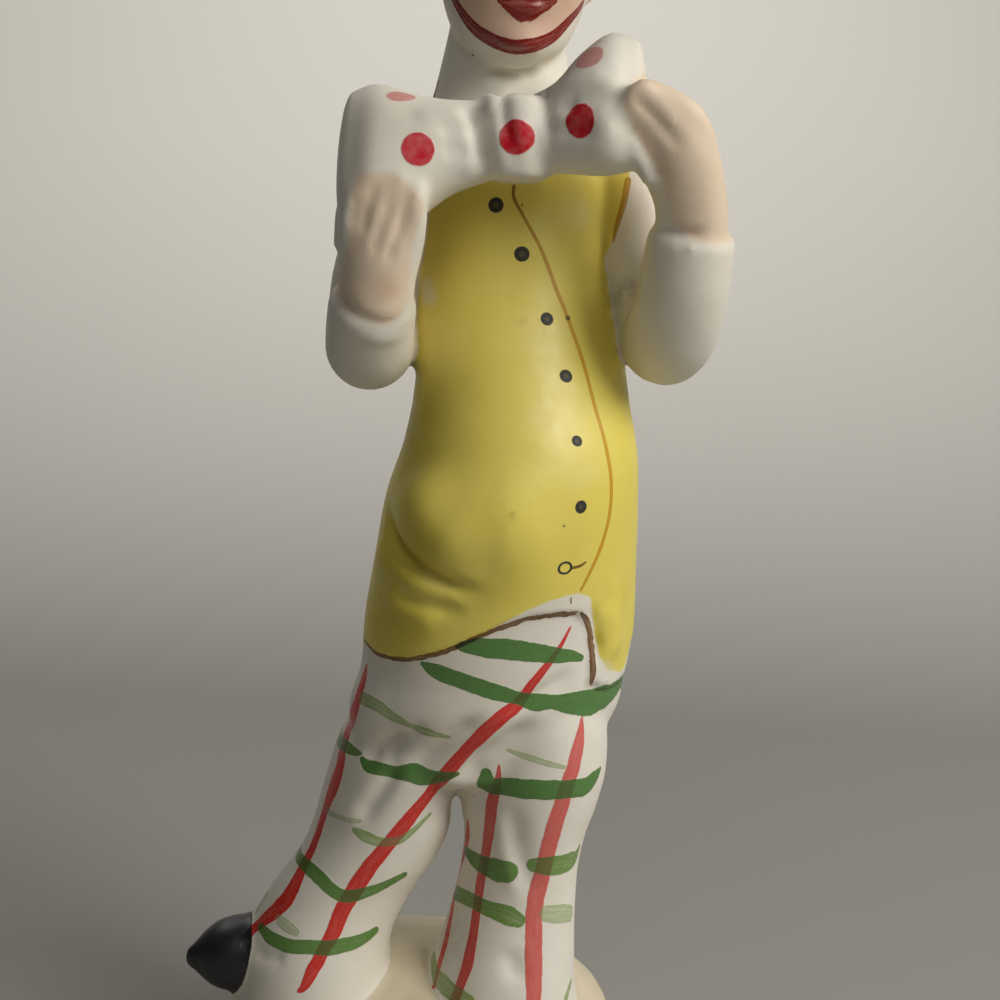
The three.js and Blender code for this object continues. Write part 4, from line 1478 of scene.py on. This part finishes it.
def mark_shades(cast):
    """Keeps the airbrushed tints, the dirt, the painted shade and painted highlight at every point, and how
    deep in a hollow it is.
    """
    cast.keep("vest_tint_shade_highlight", tinted(cast, 0.95, VEST_TINTS_SHADE_HIGHLIGHT))
    cast.keep("skin_tint_and_shade", tinted(cast, 0.1, SKIN_TINTS_AND_SHADE))
    cast.keep("grime_and_shade", tinted(cast, 0.0, GRIME_AND_SHADE))
    smooth = np.stack([cast.softened(cast.points[:, k], 14) for k in range(3)], 1)
    cast.keep("hollow", cast.softened(((smooth - cast.points) * cast.normals).sum(1), 2))


def brush_on(cast, face):
    """Lays every stroke and spot on the surface."""
    hidden_red, hidden_green = hidden_strokes()
    smile = [(*place, width) for place, width in zip(SMILE, SMILE_WIDTHS)]
    lay_strokes(cast, "red", [(in_picture, RED), *hidden_red])
    lay_strokes(cast, "green", [(in_picture, GREEN), *hidden_green])
    lay_strokes(cast, "brown", [(in_picture, BROWN), (face, FACE_LINES)])
    lay_strokes(cast, "lips", [(in_picture, LIPS + [(1.0, smile + smile[:1])])])
    lay_spots(cast, "spots", [(in_picture, SPOTS), (face, FACE_SPOTS)])


def figurine():
    face = from_side(FACE_TURN, FACE_MIDDLE)
    cast, areas = modelled(face)
    mark_areas(cast, areas)
    mark_shades(cast)
    brush_on(cast, face)
    mesh = cast.mesh
    mesh.vertices.foreach_set("co", (cast.points * MM).astype(np.float32).ravel())
    mesh.polygons.foreach_set("use_smooth", np.ones(len(mesh.polygons), bool))
    mesh.materials.clear()
    mesh.materials.append(painted_bisque())
    mesh.update()
    return placed(NODE + "_cast", mesh)


def plain(name, colour, roughness):
    """An even studio surface with the faintest unevenness."""
    f = Finish(name)
    shade = f.level(f.cloud(0.004, 2), 0.3, 0.7, 0.0, 0.25)
    colour = f.wash(shade, colour, (0.94, 0.94, 0.94, 1))
    return f.surface({"Base Color": colour, "Roughness": roughness})


def studio():
    """A pale floor that turns up into a pale wall behind the figurine, without an edge."""
    wide, near, far, high, bend = 3.0, -3.0, 1.3, 3.0, 1.0
    turns = [k * math.pi / 48 for k in range(25)]
    profile = [(near, 0.0)]
    profile += [(far - bend + bend * math.sin(a), bend - bend * math.cos(a)) for a in turns]
    profile += [(far, high)]
    points = [(side * wide, y, z) for y, z in profile for side in (-1, 1)]
    faces = [(2 * k, 2 * k + 1, 2 * k + 3, 2 * k + 2) for k in range(len(profile) - 1)]
    mesh = bpy.data.meshes.new("floor")
    mesh.from_pydata(points, [], faces)
    mesh.polygons.foreach_set("use_smooth", np.ones(len(faces), bool))
    mesh.materials.append(plain("pale floor", (0.33, 0.322, 0.302, 1), 0.8))
    floor = placed("floor", mesh)


def soft_light(name, azimuth, height, distance, size, power, colour, target=(0.0, 0.0, 0.11)):
    """A square soft light, so many degrees to the right of the camera's side and above the floor."""
    light = bpy.data.lights.new(name, "AREA")
    light.shape = "SQUARE"
    light.size = size
    light.energy = power
    light.color = colour
    turn, rise = math.radians(azimuth), math.radians(height)
    way = Vector((math.sin(turn) * math.cos(rise), -math.cos(turn) * math.cos(rise), math.sin(rise)))
    made = placed(name, light)
    made.location = Vector(target) + way * distance
    made.rotation_euler = (Vector(target) - made.location).to_track_quat("-Z", "Y").to_euler()


def lights():
    soft_light("key", 55, 34, 1.0, 0.5, 6.3, (1.0, 0.965, 0.90))
    soft_light("side", 86, 36, 1.0, 0.5, 2.8, (1.0, 0.98, 0.94))
    soft_light("front", 0, 35, 1.0, 0.5, 0.75, (1.0, 0.98, 0.95))
    soft_light("back", 225, 48, 1.0, 0.5, 1.6, (1.0, 0.97, 0.93))
    soft_light("wall", 0, 17, 1.05, 0.6, 11.0, (1.0, 0.97, 0.92), target=(0.0, 1.5, 0.5))
    world = bpy.data.worlds.new("pale room")
    world.use_nodes = True
    back = world.node_tree.nodes["Background"]
    back.inputs["Color"].default_value = (0.80, 0.79, 0.75, 1)
    back.inputs["Strength"].default_value = 0.02
    bpy.context.scene.world = world
    bpy.context.scene.view_settings.view_transform = "Standard"


def camera():
    data = bpy.data.cameras.new("camera")
    data.sensor_width = SENSOR
    data.lens = SENSOR * FOCAL / PICTURE
    right, up, ahead = camera_axes()
    axes = Matrix([right, up, -ahead]).transposed()
    made = placed("camera", data)
    made.matrix_world = Matrix.Translation(Vector(EYE * MM)) @ axes.to_4x4()
    bpy.context.scene.camera = made


camera()
lights()
studio()
clown = figurine()
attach(clown, "root")
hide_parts(NODE)
